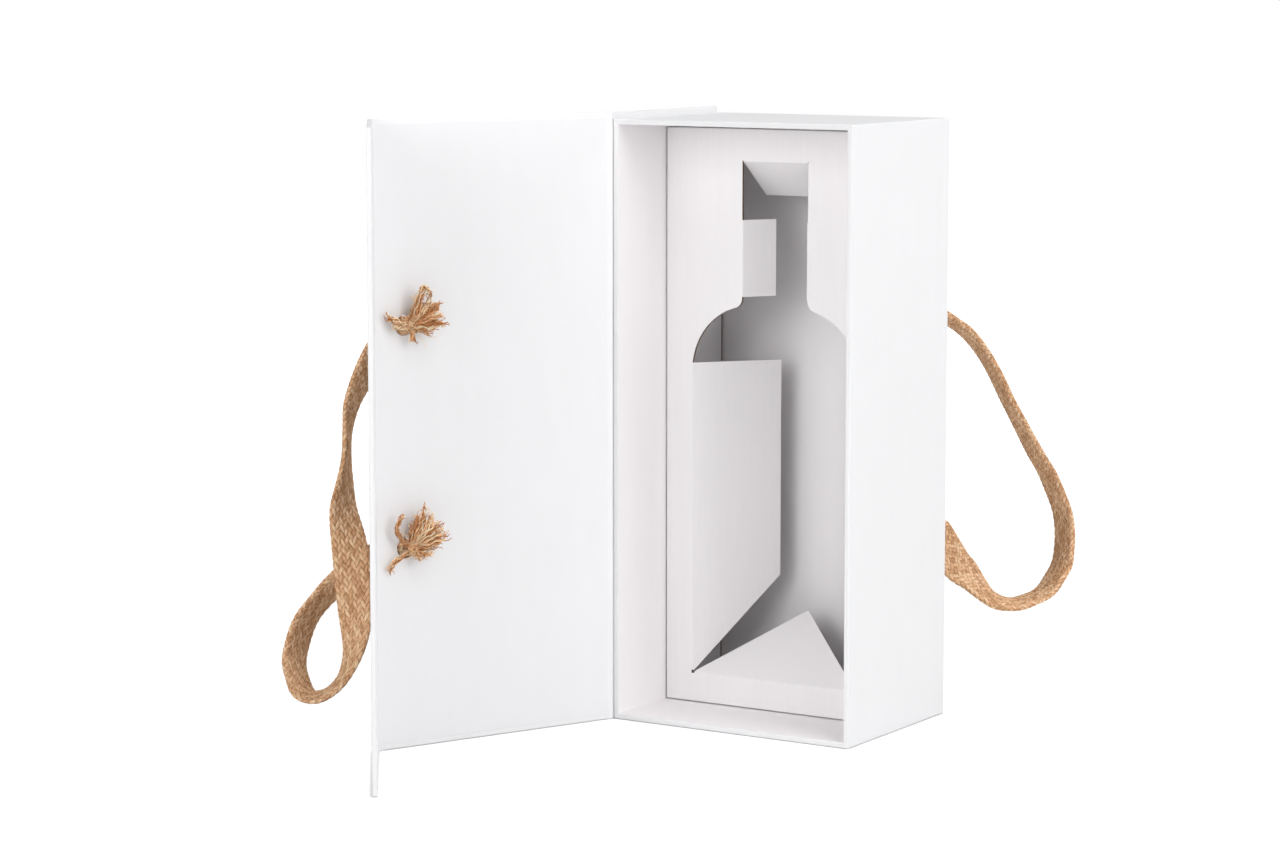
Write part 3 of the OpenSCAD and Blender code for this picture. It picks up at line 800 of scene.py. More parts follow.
def make_insert_face():
    x0, x1 = face_low.x + FACE_INSET - INSERT_X, face_high.x - INSERT_X
    z0, z1 = face_low.z + FACE_INSET, face_high.z - TOP_INSET
    right = half_outline()
    hole = right + [(-x, z) for x, z in reversed(right)]
    inner = [(x0 + FRAME_W, z0 + FRAME_W), (x1 - FRAME_W, z0 + FRAME_W), (x1 - FRAME_W, z1 - FRAME_W),
             (x0 + FRAME_W, z1 - FRAME_W)]
    parts = board_sheet(inner, [hole])
    parts.append(picture_frame(x0, x1, z0, z1))
    low, high = x0 + FOLD_R, x1 - FOLD_R
    parts.append(fluting(lambda z: (low, high), z0 + FOLD_R, CUT_FOOT))
    parts.append(fluting(lambda z: (low, -cut_half_width(z)), CUT_FOOT, CUT_TOP))
    parts.append(fluting(lambda z: (cut_half_width(z), high), CUT_FOOT, CUT_TOP))
    parts.append(fluting(lambda z: (low, high), CUT_TOP, z1 - FOLD_R))
    piece = board_piece("insert_face_board", parts, moved(INSERT_X, CREASE_Y))
    dressed(piece, "tray", "corrugated", "insert_face")


def insert_wall(name, node, run, z0, z1, matrix):
    """A wall of the insert: folded back from the face, it ends short of the tray's back. Its fluting stops
    short of its end, where a strip of brown core is put.
    """
    start, end = run
    parts = board_sheet([(start, z0), (end, z0), (end, z1), (start, z1)])
    parts.append(fluting(lambda z: (start, end - END_STRIP), z0, z1))
    dressed(board_piece(name, parts, matrix), "tray", "corrugated", node)


def make_insert_walls():
    for side, inset in (("left", FACE_INSET), ("right", 0)):
        low, high = node_box(f"insert_{side}_wall")
        middle = (low.x + high.x) / 2 + inset
        depth = high.y - low.y - WALL_SHORT
        z0, z1 = low.z + FACE_INSET, high.z - TOP_INSET
        turn = moved(middle, low.y) @ turned(90)
        insert_wall(f"insert_{side}_wall_board", f"insert_{side}_wall", (0, depth), z0, z1, turn)
        # A strip of brown core at the wall's end gives the dark line where the wall meets the back
        outline = [(depth, z0), (depth + END_STRIP, z0), (depth + END_STRIP, z1), (depth, z1)]
        points, faces, _ = prism(outline, [], -SHEET_T / 2, SHEET_T / 2)
        edge = board_piece(f"insert_{side}_end_strip", [(points, faces, ["core"] * len(faces))], turn)
        dressed(edge, "tray", "corrugated")
    for level in ("top", "base"):
        low, high = node_box(f"insert_{level}_wall")
        middle = (low.z + high.z) / 2 + (FACE_INSET if level == "base" else -TOP_INSET)
        turn = moved(0, low.y, middle) @ turned(-90, "X")
        insert_wall(f"insert_{level}_wall_board", f"insert_{level}_wall", (low.x + FACE_INSET, high.x), 0,
                    high.y - low.y - WALL_SHORT, turn)


def make_side_flap(name, body, node, width, z0, z1, mitre, matrix):
    """A flap that turns about an upright crease. mitre is where its slanted foot would meet the crease."""
    def reach(z):
        return min(width, max(z - mitre, CORNER_RELIEF - KERF))
    outline = [(0, z0), (reach(z0), z0)]
    if mitre + width > z0:
        outline.append((width, mitre + width))
    outline += [(width, z1), (0, z1)]
    parts = board_sheet(outline)
    parts.append(fluting(lambda z: (0, reach(z)), z0, z1))
    parts.append(root_rod(z0, z1 - z0, SHEET_T / 2, False))
    dressed(board_piece(name, parts, matrix), body, "corrugated", node)


def make_level_flap(name, body, node, half_width, depth, pointed, upward, matrix):
    """A flap that turns about a level crease: it tapers to a point, or is a plain rectangle."""
    start = CORNER_RELIEF - KERF

    def half(t):
        if not pointed or t < start:
            return half_width
        return max(half_width * (depth - t) / (depth - start), POINT_HALF)
    sign = 1 if upward else -1
    if pointed:
        outline = [(-half_width, 0), (half_width, 0), (half_width, start), (0, depth), (-half_width, start)]
    else:
        outline = [(-half_width, 0), (half_width, 0), (half_width, depth), (-half_width, depth)]
    parts = board_sheet([(x, sign * z) for x, z in outline])
    low, high = sorted((0, sign * depth))
    parts.append(fluting(lambda z: (-half(abs(z)), half(abs(z))), low, high))
    parts.append(root_rod(-half_width, 2 * half_width, SHEET_T / 2, True))
    dressed(board_piece(name, parts, matrix), body, "corrugated", node)


def make_insert_flaps():
    body_w = HALF_BODY - KERF / 2
    neck_w = HALF_NECK - KERF
    flip = Matrix.Scale(-1, 4, (1, 0, 0))
    for side in ("left", "right"):
        at = -1 if side == "left" else 1
        mirror = Matrix.Identity(4) if side == "left" else flip
        for part, crease_x, width, z0, z1, mitre in (
                ("body", HALF_BODY, body_w, CUT_FOOT + CORNER_RELIEF, BODY_TOP, CUT_FOOT + KERF),
                ("neck", HALF_NECK, neck_w, NECK_FOOT, NECK_TOP, NECK_FOOT - 2 * neck_w)):
            body = f"{part}_flap_{side}"
            fold = turned(fold_at_rest(f"{body}_crease"))
            matrix = moved(INSERT_X + at * crease_x, CREASE_Y) @ mirror @ fold
            make_side_flap(f"{body}_board", body, f"insert_{body}", width, z0, z1, mitre, matrix)
    matrix = moved(INSERT_X, CREASE_Y, CUT_FOOT) @ turned(-fold_at_rest("bottom_flap_crease"), "X")
    make_level_flap("bottom_flap_board", "bottom_flap", "insert_bottom_flap", HALF_BODY - CORNER_RELIEF,
                    HALF_BODY - KERF, True, True, matrix)
    matrix = moved(INSERT_X, CREASE_Y, CUT_TOP) @ turned(fold_at_rest("top_flap_crease"), "X")
    make_level_flap("top_flap_board", "top_flap", "insert_top_flap", HALF_NECK - KERF / 2,
                    CUT_TOP - NECK_TOP - KERF, False, False, matrix)


# Jute handles. Middle of the tape, from hole to hole: [out from the wall, sideways, height above the
# floor, turn of the tape's width from sideways towards outwards, in degrees]
DOOR_ROUTE = [
    (0, 0, 191, 0), (10, 0, 187, -4), (20, 0, 179, -10), (30, 0, 169, -18),
    (40, 0, 157, -30), (46, 0, 148, -42), (48, 1, 137, -53), (47, 2, 127, -53),
    (45, 4, 115, -38), (41, 7, 103, -17), (33, 9, 89, 12), (26, 11, 73, 34),
    (23, 12, 61, 52), (21, 13, 50, 72), (21, 15, 40, 94), (25, 18, 29, 112),
    (32, 21, 22, 120), (40, 23, 19, 124), (49, 24, 19, 130), (59, 22, 23, 140),
    (68, 19, 30, 148), (74, 13, 40, 154), (76, 7, 49, 160), (73, 0, 58, 172),
    (66, -4, 65, 196), (54, -7, 72, 232), (41, -9, 78, 256), (28, -9, 82, 266),
    (14, -5, 87, 270), (0, 0, 91, 270),
]
BACK_ROUTE = [
    (0, 0, 191, 0), (12, 0, 188, 10), (23, 0, 184, 22), (37, 0, 179, 32),
    (49, -1, 172, 38), (59, -2, 164, 41), (69, -3, 154, 42), (80, -4, 141, 42),
    (90, -5, 130, 40), (100, -6, 119, 37), (108, -7, 110, 34), (118, -8, 100, 32),
    (126, -9, 89, 31), (132, -10, 79, 31), (133, -11, 70, 32), (131, -12, 62, 34),
    (126, -13, 54, 38), (116, -14, 48, 42), (105, -14, 43, 46), (92, -13, 41, 52),
    (76, -11, 41, 62), (62, -8, 45, 72), (51, -6, 52, 82), (41, -4, 60, 94),
    (32, -2, 66, 104), (15, 0, 82, 114), (0, 0, 91, 120),
]
TAPE_W = 17
TAPE_T = 3.5
# At its holes the tape is gathered to a round neck, and it spreads to its full width over this length
NECK_R = STRAP_HOLE_D / 2 - 0.2
TAPE_SPREAD = 16
TAPE_CORNER_SHARE = 0.55
RING_STEP = 0.56
RING_SIDES = 132
# Strands of either direction round the tape, and the length in which one goes round it once
STRANDS = 18
STRAND_TRAVEL = 64
RELIEF = 0.85
MIDDLE_HEIGHT = 0.45
# The braid's height is made of its over and under wave, the strand's crown and its two plies
WAVE_SHARE = 0.36
CROWN_SHARE = 0.34
PLY_SHARE = 0.3
# The strands wander by a random walk, less in one direction than in the other
WANDER = 0.012
DRIFT = 0.2
LESS_WANDER = 0.6
# Braid heights up to which the hollows take the full painted shade, and the range over which it fades to
# the full colour
SHADE_FULL_HEIGHT = 0.34
SHADE_FADE_RANGE = 0.4
# Painted shade on the tape's end caps in the holes
CAP_SHADE = 0.3
HAIR_TONE = 0.8
# The route's corners are eased over this length, but not close to the holes
EASE_REACH = 7
EASE_START = 16


def even_route(route, step):
    """The route as points a step apart, with the turn of the tape at each."""
    fine = smooth_line(route, 40)
    gone = travelled(fine[:, :3])
    count = round(gone[-1] / step)
    at = np.linspace(0, gone[-1], count + 1)
    line = np.stack([np.interp(at, gone, fine[:, k]) for k in range(4)], 1)
    return eased(line, at, step), at


def eased(line, at, step):
    """Smooths a line of points, and leaves its two ends where they are."""
    reach = round(EASE_REACH / step)
    window = np.hanning(2 * reach + 3)[1:-1]
    window /= window.sum()
    padded = np.pad(line, ((reach, reach), (0, 0)), "edge")
    soft = np.stack([np.convolve(padded[:, k], window, "valid") for k in range(line.shape[1])], 1)
    share = np.clip(np.minimum(at, at[-1] - at) / EASE_START, 0, 1)[:, None]
    share = share ** 2 * (3 - 2 * share)
    return line * (1 - share) + soft * share


def section(half_w, half_t, share, count):
    """A rounded flat section, its points an equal way apart round it, and the way out at each."""
    a = np.linspace(0, 2 * math.pi, 721)
    x = half_w * np.sign(np.cos(a)) * np.abs(np.cos(a)) ** share
    y = half_t * np.sign(np.sin(a)) * np.abs(np.sin(a)) ** share
    gone = travelled(np.stack([x, y], 1))
    at = np.linspace(0, gone[-1], count, endpoint=False)
    x, y = np.interp(at, gone, x), np.interp(at, gone, y)
    dx, dy = np.roll(x, -1) - np.roll(x, 1), np.roll(y, -1) - np.roll(y, 1)
    length = np.hypot(dx, dy)
    return x, y, dy / length, -dx / length


def braid_height(a, b, tones):
    """Height of a two-over-two braid at strand coordinates a and b, and which strand is on top there.

    It gives the strand's number, and whether it runs in the first direction. A strand has two plies.
    """
    heights, numbers = [], []
    for own, other, shift, first_tone in ((a, b, -1, 0), (b, a, 1, STRANDS)):
        number = np.floor(own)
        off = own - number - 0.5
        wave = np.cos(math.pi / 2 * (other + number + shift))
        thick = 0.88 + 0.24 * tones[number.astype(int) % STRANDS + first_tone]
        crown = np.sqrt(np.maximum(0, 1 - (2.06 * off) ** 2)) * thick
        ply = 4 * (np.abs(off) - 0.25)
        plies = np.sqrt(np.maximum(0, 1 - ply ** 2))
        heights.append(WAVE_SHARE * wave + CROWN_SHARE * crown + PLY_SHARE * plies)
        numbers.append(number)
    on_top = heights[0] >= heights[1]
    return np.where(on_top, *heights), np.where(on_top, *numbers), on_top


def half_sizes(spread):
    """Half the tape's width and half its thickness, from the round neck to the full tape."""
    return NECK_R + (TAPE_W / 2 - NECK_R) * spread, NECK_R + (TAPE_T / 2 - NECK_R) * spread


def strand_places(u, gone, wobble):
    """Strand coordinates in both directions at a share u round the tape."""
    start, turned_by = STRANDS * u, STRANDS * gone / STRAND_TRAVEL
    return start + turned_by + wobble, start - turned_by + wobble * LESS_WANDER


def tape_mesh(name, route, seed):
    """The braided tape as one closed mesh with relief, its own attributes and a fuzz of loose fibres."""
    rng = np.random.default_rng(seed)
    tones = rng.random(2 * STRANDS)
    line, gone = even_route(route, RING_STEP)
    rings = len(line)
    middle = line[:, :3]
    along = np.gradient(middle, axis=0)
    along[0], along[-1] = (1, 0, 0), (-1, 0, 0)
    along = unit(along)
    turn = np.radians(line[:, 3])
    wide = np.stack([np.sin(turn), np.cos(turn), np.zeros(rings)], 1)
    across = unit(wide - (wide * along).sum(1)[:, None] * along)
    up = np.cross(along, across)
    spread = np.minimum(1, np.minimum(gone, gone[-1] - gone) / TAPE_SPREAD)
    u = np.arange(RING_SIDES) / RING_SIDES
    points = np.zeros((rings, RING_SIDES, 3))
    heights = np.zeros((rings, RING_SIDES))
    wobble = np.cumsum(rng.normal(0, WANDER, rings)) - np.linspace(0, 1, rings) * DRIFT
    for i in range(rings):
        half_w, half_t = half_sizes(spread[i])
        share = 1 + (TAPE_CORNER_SHARE - 1) * spread[i]
        x, y, nx, ny = section(half_w - RELIEF / 2, half_t - RELIEF / 2, share, RING_SIDES)
        heights[i] = braid_height(*strand_places(u, gone[i], wobble[i]), tones)[0]
        lift = (heights[i] - MIDDLE_HEIGHT) * RELIEF
        points[i] = middle[i] + np.outer(x + nx * lift, across[i]) + np.outer(y + ny * lift, up[i])
    quads, caps = ring_faces(rings, RING_SIDES)
    all_points, faces = [points.reshape(-1, 3)], quads.tolist() + caps
    own_faces, base = len(faces), rings * RING_SIDES
    for fibre_points, fibre_faces in loose_fibres(middle, along, across, up, spread, rng):
        all_points.append(fibre_points)
        faces += [[base + i for i in f] for f in fibre_faces]
        base += len(fibre_points)
    piece = new_piece(name, np.concatenate(all_points), faces, [JUTE], None, True)
    write_braid_attributes(piece.data, quads, gone, wobble, tones, heights, own_faces)
    return piece, middle


def write_attributes(mesh, domain, fibre, shade):
    """Stores what the jute material reads: the place along the fibres, and the depth of painted shade with
    the tone.
    """
    for key, values in (("fibre", fibre), ("shade", shade)):
        made = mesh.attributes.new(key, "FLOAT_VECTOR", domain)
        made.data.foreach_set("vector", values.astype(np.float32).reshape(-1))


def write_braid_attributes(mesh, quads, gone, wobble, tones, heights, own_faces):
    """Fibre direction and tone at each corner, worked out for the strand on top at the face's middle. The
    depth is painted shade: deep in the braid's hollows, partial on the end caps, none on the hairs.
    """
    count = len(mesh.loops)
    fibre = np.zeros((count, 3), np.float32)
    shade = np.zeros((count, 3), np.float32)
    ring_of, side_of = quads // RING_SIDES, (quads % RING_SIDES).astype(float)
    wrap = side_of.max(1) - side_of.min(1) > RING_SIDES / 2
    side_of[wrap] = np.where(side_of[wrap] < RING_SIDES / 2, side_of[wrap] + RING_SIDES, side_of[wrap])
    a, b = strand_places(side_of / RING_SIDES, gone[ring_of], wobble[ring_of])
    _, number, on_top = braid_height(a.mean(1), b.mean(1), tones)
    own = np.where(on_top[:, None], a, b) - number[:, None] - 0.5
    other = np.where(on_top[:, None], b, a)
    tone = tones[number.astype(int) % STRANDS + np.where(on_top, 0, STRANDS)]
    size = quads.size
    fibre[:size, 0] = (other * 2.4 + own * 0.9).reshape(-1)
    fibre[:size, 1] = (own * 2.1).reshape(-1)
    fibre[:size, 2] = np.repeat(number * 1.7 + np.where(on_top, 0, 41), 4)
    depth = (heights.reshape(-1)[quads].reshape(-1) - SHADE_FULL_HEIGHT) / SHADE_FADE_RANGE
    shade[:size, 0] = np.clip(depth, 0, 1)
    shade[:size, 1] = np.repeat(tone, 4)
    corners = np.zeros(len(mesh.polygons), np.int32)
    mesh.polygons.foreach_get("loop_total", corners)
    first_hair = int(corners[:own_faces].sum())
    shade[size:first_hair, 0] = CAP_SHADE
    shade[first_hair:, 0] = 1
    shade[first_hair:, 1] = HAIR_TONE
    fibre[first_hair:, 0] = np.arange(count - first_hair) % 7
    write_attributes(mesh, "CORNER", fibre, shade)


def thin_tube(line, radii, sides):
    """A closed tapered tube along a line of points."""
    line = np.asarray(line, float)
    first, second = across_from(unit(np.gradient(line, axis=0)), (0.31, 0.52, 0.79))
    angle = 2 * math.pi * np.arange(sides)[:, None] / sides
    out = first[:, None] * np.cos(angle) + second[:, None] * np.sin(angle)
    points = line[:, None] + out * np.asarray(radii)[:, None, None]
    quads, caps = ring_faces(len(line), sides)
    return points.reshape(-1, 3), quads.tolist() + caps


FUZZ_COUNT = 260
FUZZ_R = 0.055
FUZZ_LENGTHS = (1.2, 3.4)
# The hairs are rooted this far out, as shares of half the tape's width and of half its thickness
WIDE_ROOT_SHARE = 0.93
THICK_ROOT_SHARE = 0.8


def loose_fibres(middle, along, across, up, spread, rng):
    """Short hairs that stand off the tape."""
    made = []
    for _ in range(FUZZ_COUNT):
        i = rng.integers(8, len(middle) - 8)
        half_w, half_t = half_sizes(spread[i])
        a = rng.uniform(0, 2 * math.pi)
        if rng.random() < 0.5:
            a = rng.choice([0, math.pi]) + rng.normal(0, 0.25)
        out = across[i] * math.cos(a) + up[i] * math.sin(a)
        root = middle[i] + across[i] * half_w * WIDE_ROOT_SHARE * math.cos(a)
        root += up[i] * half_t * THICK_ROOT_SHARE * math.sin(a)
        way = out * rng.uniform(0.25, 0.9) + along[i] * rng.choice([-1, 1]) * rng.uniform(0.5, 1)
        way = unit(way + rng.normal(0, 0.25, 3))
        curl = rng.normal(0, 0.5, 3)
        length = rng.uniform(*FUZZ_LENGTHS)
        steps = np.linspace(0, 1, 6)
        line = np.array([root + way * length * s + curl * s ** 2 * length * 0.35 for s in steps])
        made.append(thin_tube(line, FUZZ_R * (1 - 0.75 * steps), 3))
    return made


def make_strap(name, node, body, route, matrix, seed):
    """A handle of braided tape along its route."""
    piece, middle = tape_mesh(name, route, seed)
    placed = at_matrix(piece, matrix)
    path = [placed @ Vector(p * MM) for p in middle[::4]]
    end = placed @ Vector(middle[-1] * MM)
    if (path[-1] - end).length > 1e-6:
        path.append(end)
    dressed(piece, body, "jute", node)


# Knots with frayed ends. Points are (towards the hinge, up, away from the wall) from the hole's inner rim
UPPER_YARNS = [
    [(0, 0, 3), (0.4, 5, 6.5), (1.6, 10, 8), (3.0, 15, 9), (4.6, 17.6, 9.5), (6.8, 16, 10),
     (7.8, 12.6, 9.5), (6.6, 8, 8.5)],
    [(0.6, 1, 4), (1.4, 5, 7), (2.6, 9.6, 8), (4.0, 13.8, 8.6), (5.0, 16.4, 9)],
    [(0, 0, 4), (2.2, 4.5, 7.5), (3.4, 8.6, 8.4), (4.4, 12.6, 8.8)],
    [(0, 0, 4), (3.0, 4.5, 8), (5.6, 8.4, 9.2), (7.2, 10.4, 10)],
    [(0, 0, 4), (4.2, 5, 8), (7.4, 9, 9.6), (10.2, 11, 10)],
    [(0, 0, 4), (3.5, 3, 8), (8.6, 7.8, 10.5), (13.4, 10.8, 11.5)],
    [(0, 0, 4), (4.5, 3, 8), (9.5, 7.2, 10), (12.4, 9.4, 10.5)],
    [(0, 0, 4), (4.0, 2, 8.5), (9.5, 4.2, 11), (14.6, 5.4, 12)],
    [(0, 0, 4), (4.0, 0.6, 8.5), (10.0, 1.2, 11.5), (17.0, 1.2, 12)],
    [(0, 0, 4), (3.5, -0.5, 8), (8.0, -0.6, 10), (13.2, 0.4, 11)],
    [(0, 0, 4), (3.0, -1.2, 7.5), (6.5, -2.2, 8.5), (9.8, -3.4, 8.5)],
    [(0, 0, 3), (0.2, -2.5, 5.8), (0.6, -5.4, 6.2), (1.6, -8.2, 6.4)],
    [(1, 0, 3), (-3.0, 2.0, 4.2), (-6.9, 3.2, 3.6), (-9.2, 4.0, 3.0), (-11.2, 7.4, 2.2)],
    [(1, 0, 3), (-2.6, 1.6, 5.0), (-6.4, 2.8, 4.4), (-10.6, 3.8, 3.4)],
    [(1, 0, 3), (-2.4, 0.6, 5.4), (-6.2, 1.4, 5.0), (-10.4, 2.2, 4.0)],
    [(1, 0, 3), (-2.2, -0.6, 5.0), (-5.6, 0.2, 4.6), (-8.8, 0.9, 3.8)],
]
LOWER_YARNS = [
    [(0, 0, 3), (0.2, 5, 6.5), (1.2, 12, 8.5), (2.0, 18.4, 9)],
    [(0, 0, 4), (1.4, 6, 7.5), (3.8, 14, 9.5), (5.0, 21.2, 10)],
    [(0, 0, 4), (2.4, 6, 8), (5.8, 12, 10), (8.2, 16.8, 11)],
    [(0, 0, 4), (3.2, 5, 8), (7.0, 10, 10.5), (10.4, 13.8, 11.5)],
    [(0, 0, 4), (4.0, 4.4, 8.5), (8.6, 9, 11), (12.6, 12.1, 12)],
    [(0, 0, 4), (4.4, 3.4, 8.5), (9.6, 6.8, 11), (14.6, 9.3, 12)],
    [(0, 0, 4), (4.4, 2.0, 8.5), (10.4, 4.4, 11), (16.4, 6.2, 12)],
    [(0, 0, 4), (4.0, 0.4, 8), (8.6, 1.6, 10), (13.0, 2.2, 11)],
    [(0, 0, 4), (3.0, -1.2, 8), (5.4, -1.8, 10), (8.4, -1.4, 10.5)],
    [(0, 0, 4), (1.4, -1.4, 7), (2.4, -3.0, 8.5), (3.4, -3.8, 9)],
    [(0, 0, 3), (-0.8, 6, 6), (-1.0, 9, 7), (-0.6, 12.6, 7.5)],
    [(0, 0, 3), (-4.2, 3.4, 5), (-7.8, 8.2, 6), (-7.4, 12.2, 6.5), (-5.4, 15.2, 7), (-4.4, 14.0, 7)],
    [(0, 0, 3), (-3.4, -1.6, 5), (-6.2, -4.0, 4.4), (-8.8, -6.2, 3.2), (-9.5, -8.6, 2.7),
     (-8.1, -11.5, 2.4)],
]
YARN_R = 1.0
FIBRES_PER_YARN = 10
# The fibres of a yarn kink at about this length, by this much
KINK_LENGTH = 4.6
KINK = 0.5
TWIST = 3.4
STRAY = 0.55
# How many pieces of each kind a tuft has. The first yarns of a list are its fan, which the core yarns fill
FAN_YARNS = 10
CORE_YARNS = 84
KNOT_CURLS = 90
PLUG_CURLS = 60
LOOSE_CURLS = 110
HAIRS = 60
# The gathered tape ends in an outer and an inner ring of rods
PLUG_RODS = 22
OUTER_RODS = 15
OUTER_RING_R = 3.1
INNER_RING_R = 1.6
ROD_R = 0.8
KNOT_AT = (-3.2, -2.2, 0.8)
KNOT_SIZE = 2.6
KNOT_TUBE_R = 1.7
KNOT_PLIES = 7
PLY_PLACE_SHARE = 0.62
PLY_SIZE_SHARE = 0.4
# The fibres curl round the gathered tape, the knot and the fan's middle with radii in these ranges
PLUG_CURL_R = (3.0, 3.9)
KNOT_CURL_R = (2.7, 4.2)
LOOSE_CURL_R = (1.0, 2.2)
CURL_FIBRE_R = (0.3, 0.12)
# A core yarn starts about here and is thinner than a yarn of the fan
CORE_START = (2.0, 0.8, 4)
CORE_YARN_R = 0.7
CORE_FIBRES = 4
HAIR_R = (0.09, 0.03)
# Hairs end at this place on the side of the door's free edge, and stay this far off the door's face
HAIR_EDGE = -10.5
HAIR_FLOOR = 1.5


class Strands:
    """Collects many thin tubes into one mesh, with the attributes that the jute material reads."""

    def __init__(self, seed):
        self.rng = np.random.default_rng(seed)
        self.points, self.faces, self.fibre, self.shade = [], [], [], []
        self.count = 0

    def add(self, line, radii, sides, tone, depth=None):
        """Adds a tube. The depth is painted shade at each point of the line: from 0 in a hollow, the full
        shade, to 1 in the open, none.
        """
        points, faces = thin_tube(line, radii, sides)
        gone = np.repeat(travelled(line), sides)
        around = np.tile(np.arange(sides) / sides, len(line))
        number = np.full(len(points), self.rng.uniform(0, 60))
        self.fibre.append(np.stack([gone, around * 2, number], 1))
        depth = np.ones(len(line)) if depth is None else depth
        self.shade.append(np.stack([np.repeat(depth, sides), np.full(len(points), tone), 0 * gone], 1))
        self.faces += [[self.count + i for i in f] for f in faces]
        self.points.append(points)
        self.count += len(points)

    def yarn(self, guide, radius, fibres, opening, tone, root_depth=0.25):
        """A twisted yarn along a guide, that opens into loose and kinked fibres towards its tip. It has
        painted shade from root_depth at its root, less towards its tip, and more on about one fibre in
        four.
        """
        line = smooth_line(guide, 7)
        share = np.linspace(0, 1, len(line))
        first, second = across_from(unit(np.gradient(line, axis=0)), (0.2, 0.4, 0.9))
        length = travelled(line)[-1]
        for k in range(fibres):
            waves = share * length / KINK_LENGTH * self.rng.uniform(0.7, 1.4)
            one, two = self.rng.uniform(0, 2 * math.pi, 2)
            sway = first * np.sin(2 * math.pi * waves + one)[:, None]
            sway += second * np.sin(1.6 * math.pi * waves + two)[:, None]
            sway *= (KINK * opening * np.minimum(1, 2 * share))[:, None]
            phase = 2 * math.pi * k / fibres + self.rng.uniform(-0.4, 0.4)
            inside = self.rng.uniform(0.45, 1)
            stop = self.rng.uniform(0.78, 1.0)
            used = share <= stop
            spreading = radius * inside * (0.75 + opening * share ** 2)
            angle = phase + TWIST * share * (1 - 0.4 * share)
            offset = first * (np.cos(angle) * spreading)[:, None]
            offset += second * (np.sin(angle) * spreading)[:, None]
            stray = self.rng.normal(0, STRAY, 3) * (share ** 2)[:, None] * opening
            path = (line + offset + stray + sway)[used]
            thick = radius * self.rng.uniform(0.22, 0.42) * (1 - 0.5 * share[used] ** 1.5)
            # Painted shade: darker at the root, and about one fibre in four darker still
            depth = np.clip(root_depth + share[used] * 1.4, 0, 1) * self.rng.choice([1, 1, 1, 0.5])
            self.add(path, thick, 5, float(np.clip(tone + self.rng.normal(0, 0.4), 0, 1)), depth)

    def curl(self, centre, radius, tone):
        """A short fibre that lies round the knot, with painted shade near its root."""
        way = self.rng.normal(0, 1, 3)
        way[0] = -abs(way[0])
        way = unit(way)
        side = unit(np.cross(way, self.rng.normal(0, 1, 3)))
        swing = np.linspace(0, self.rng.uniform(0.9, 2.1), 9)[:, None]
        lift = radius * (1 + 0.25 * swing * self.rng.uniform(0, 0.7))
        line = centre + (way * np.cos(swing) + side * np.sin(swing)) * lift
        self.add(line, np.linspace(*CURL_FIBRE_R, 9), 5, tone, np.linspace(0.75, 1, 9))

    def piece(self, name, material, matrix):
        made = new_piece(name, np.concatenate(self.points), self.faces, [material], matrix, True)
        write_attributes(made.data, "POINT", np.concatenate(self.fibre), np.concatenate(self.shade))
        return made


def add_knot(strands, centre, size, tube_r):
    """The overhand knot: a cord of twisted plies along a trefoil, with painted shade that deepens towards
    the wall.
    """
    t = np.linspace(0, 2 * math.pi, 72)
    around, beside = np.sin(t) + 2 * np.sin(2 * t), np.cos(t) - 2 * np.cos(2 * t)
    loop = np.stack([-np.sin(3 * t) * 0.85, around, beside], 1) * size / 3
    first, second = across_from(unit(np.gradient(loop, axis=0)), (1, 0.1, 0.05))
    depth = 0.45 + 0.45 * np.clip(-loop[:, 0] / size + 0.6, 0, 1)
    for k in range(KNOT_PLIES):
        angle = (2 * math.pi * k / KNOT_PLIES + 7 * t)[:, None]
        out = first * np.cos(angle) + second * np.sin(angle)
        line = centre + loop + out * tube_r * PLY_PLACE_SHARE
        strands.add(line, np.full(len(t), tube_r * PLY_SIZE_SHARE), 10, 0.2 + 0.1 * k, depth)


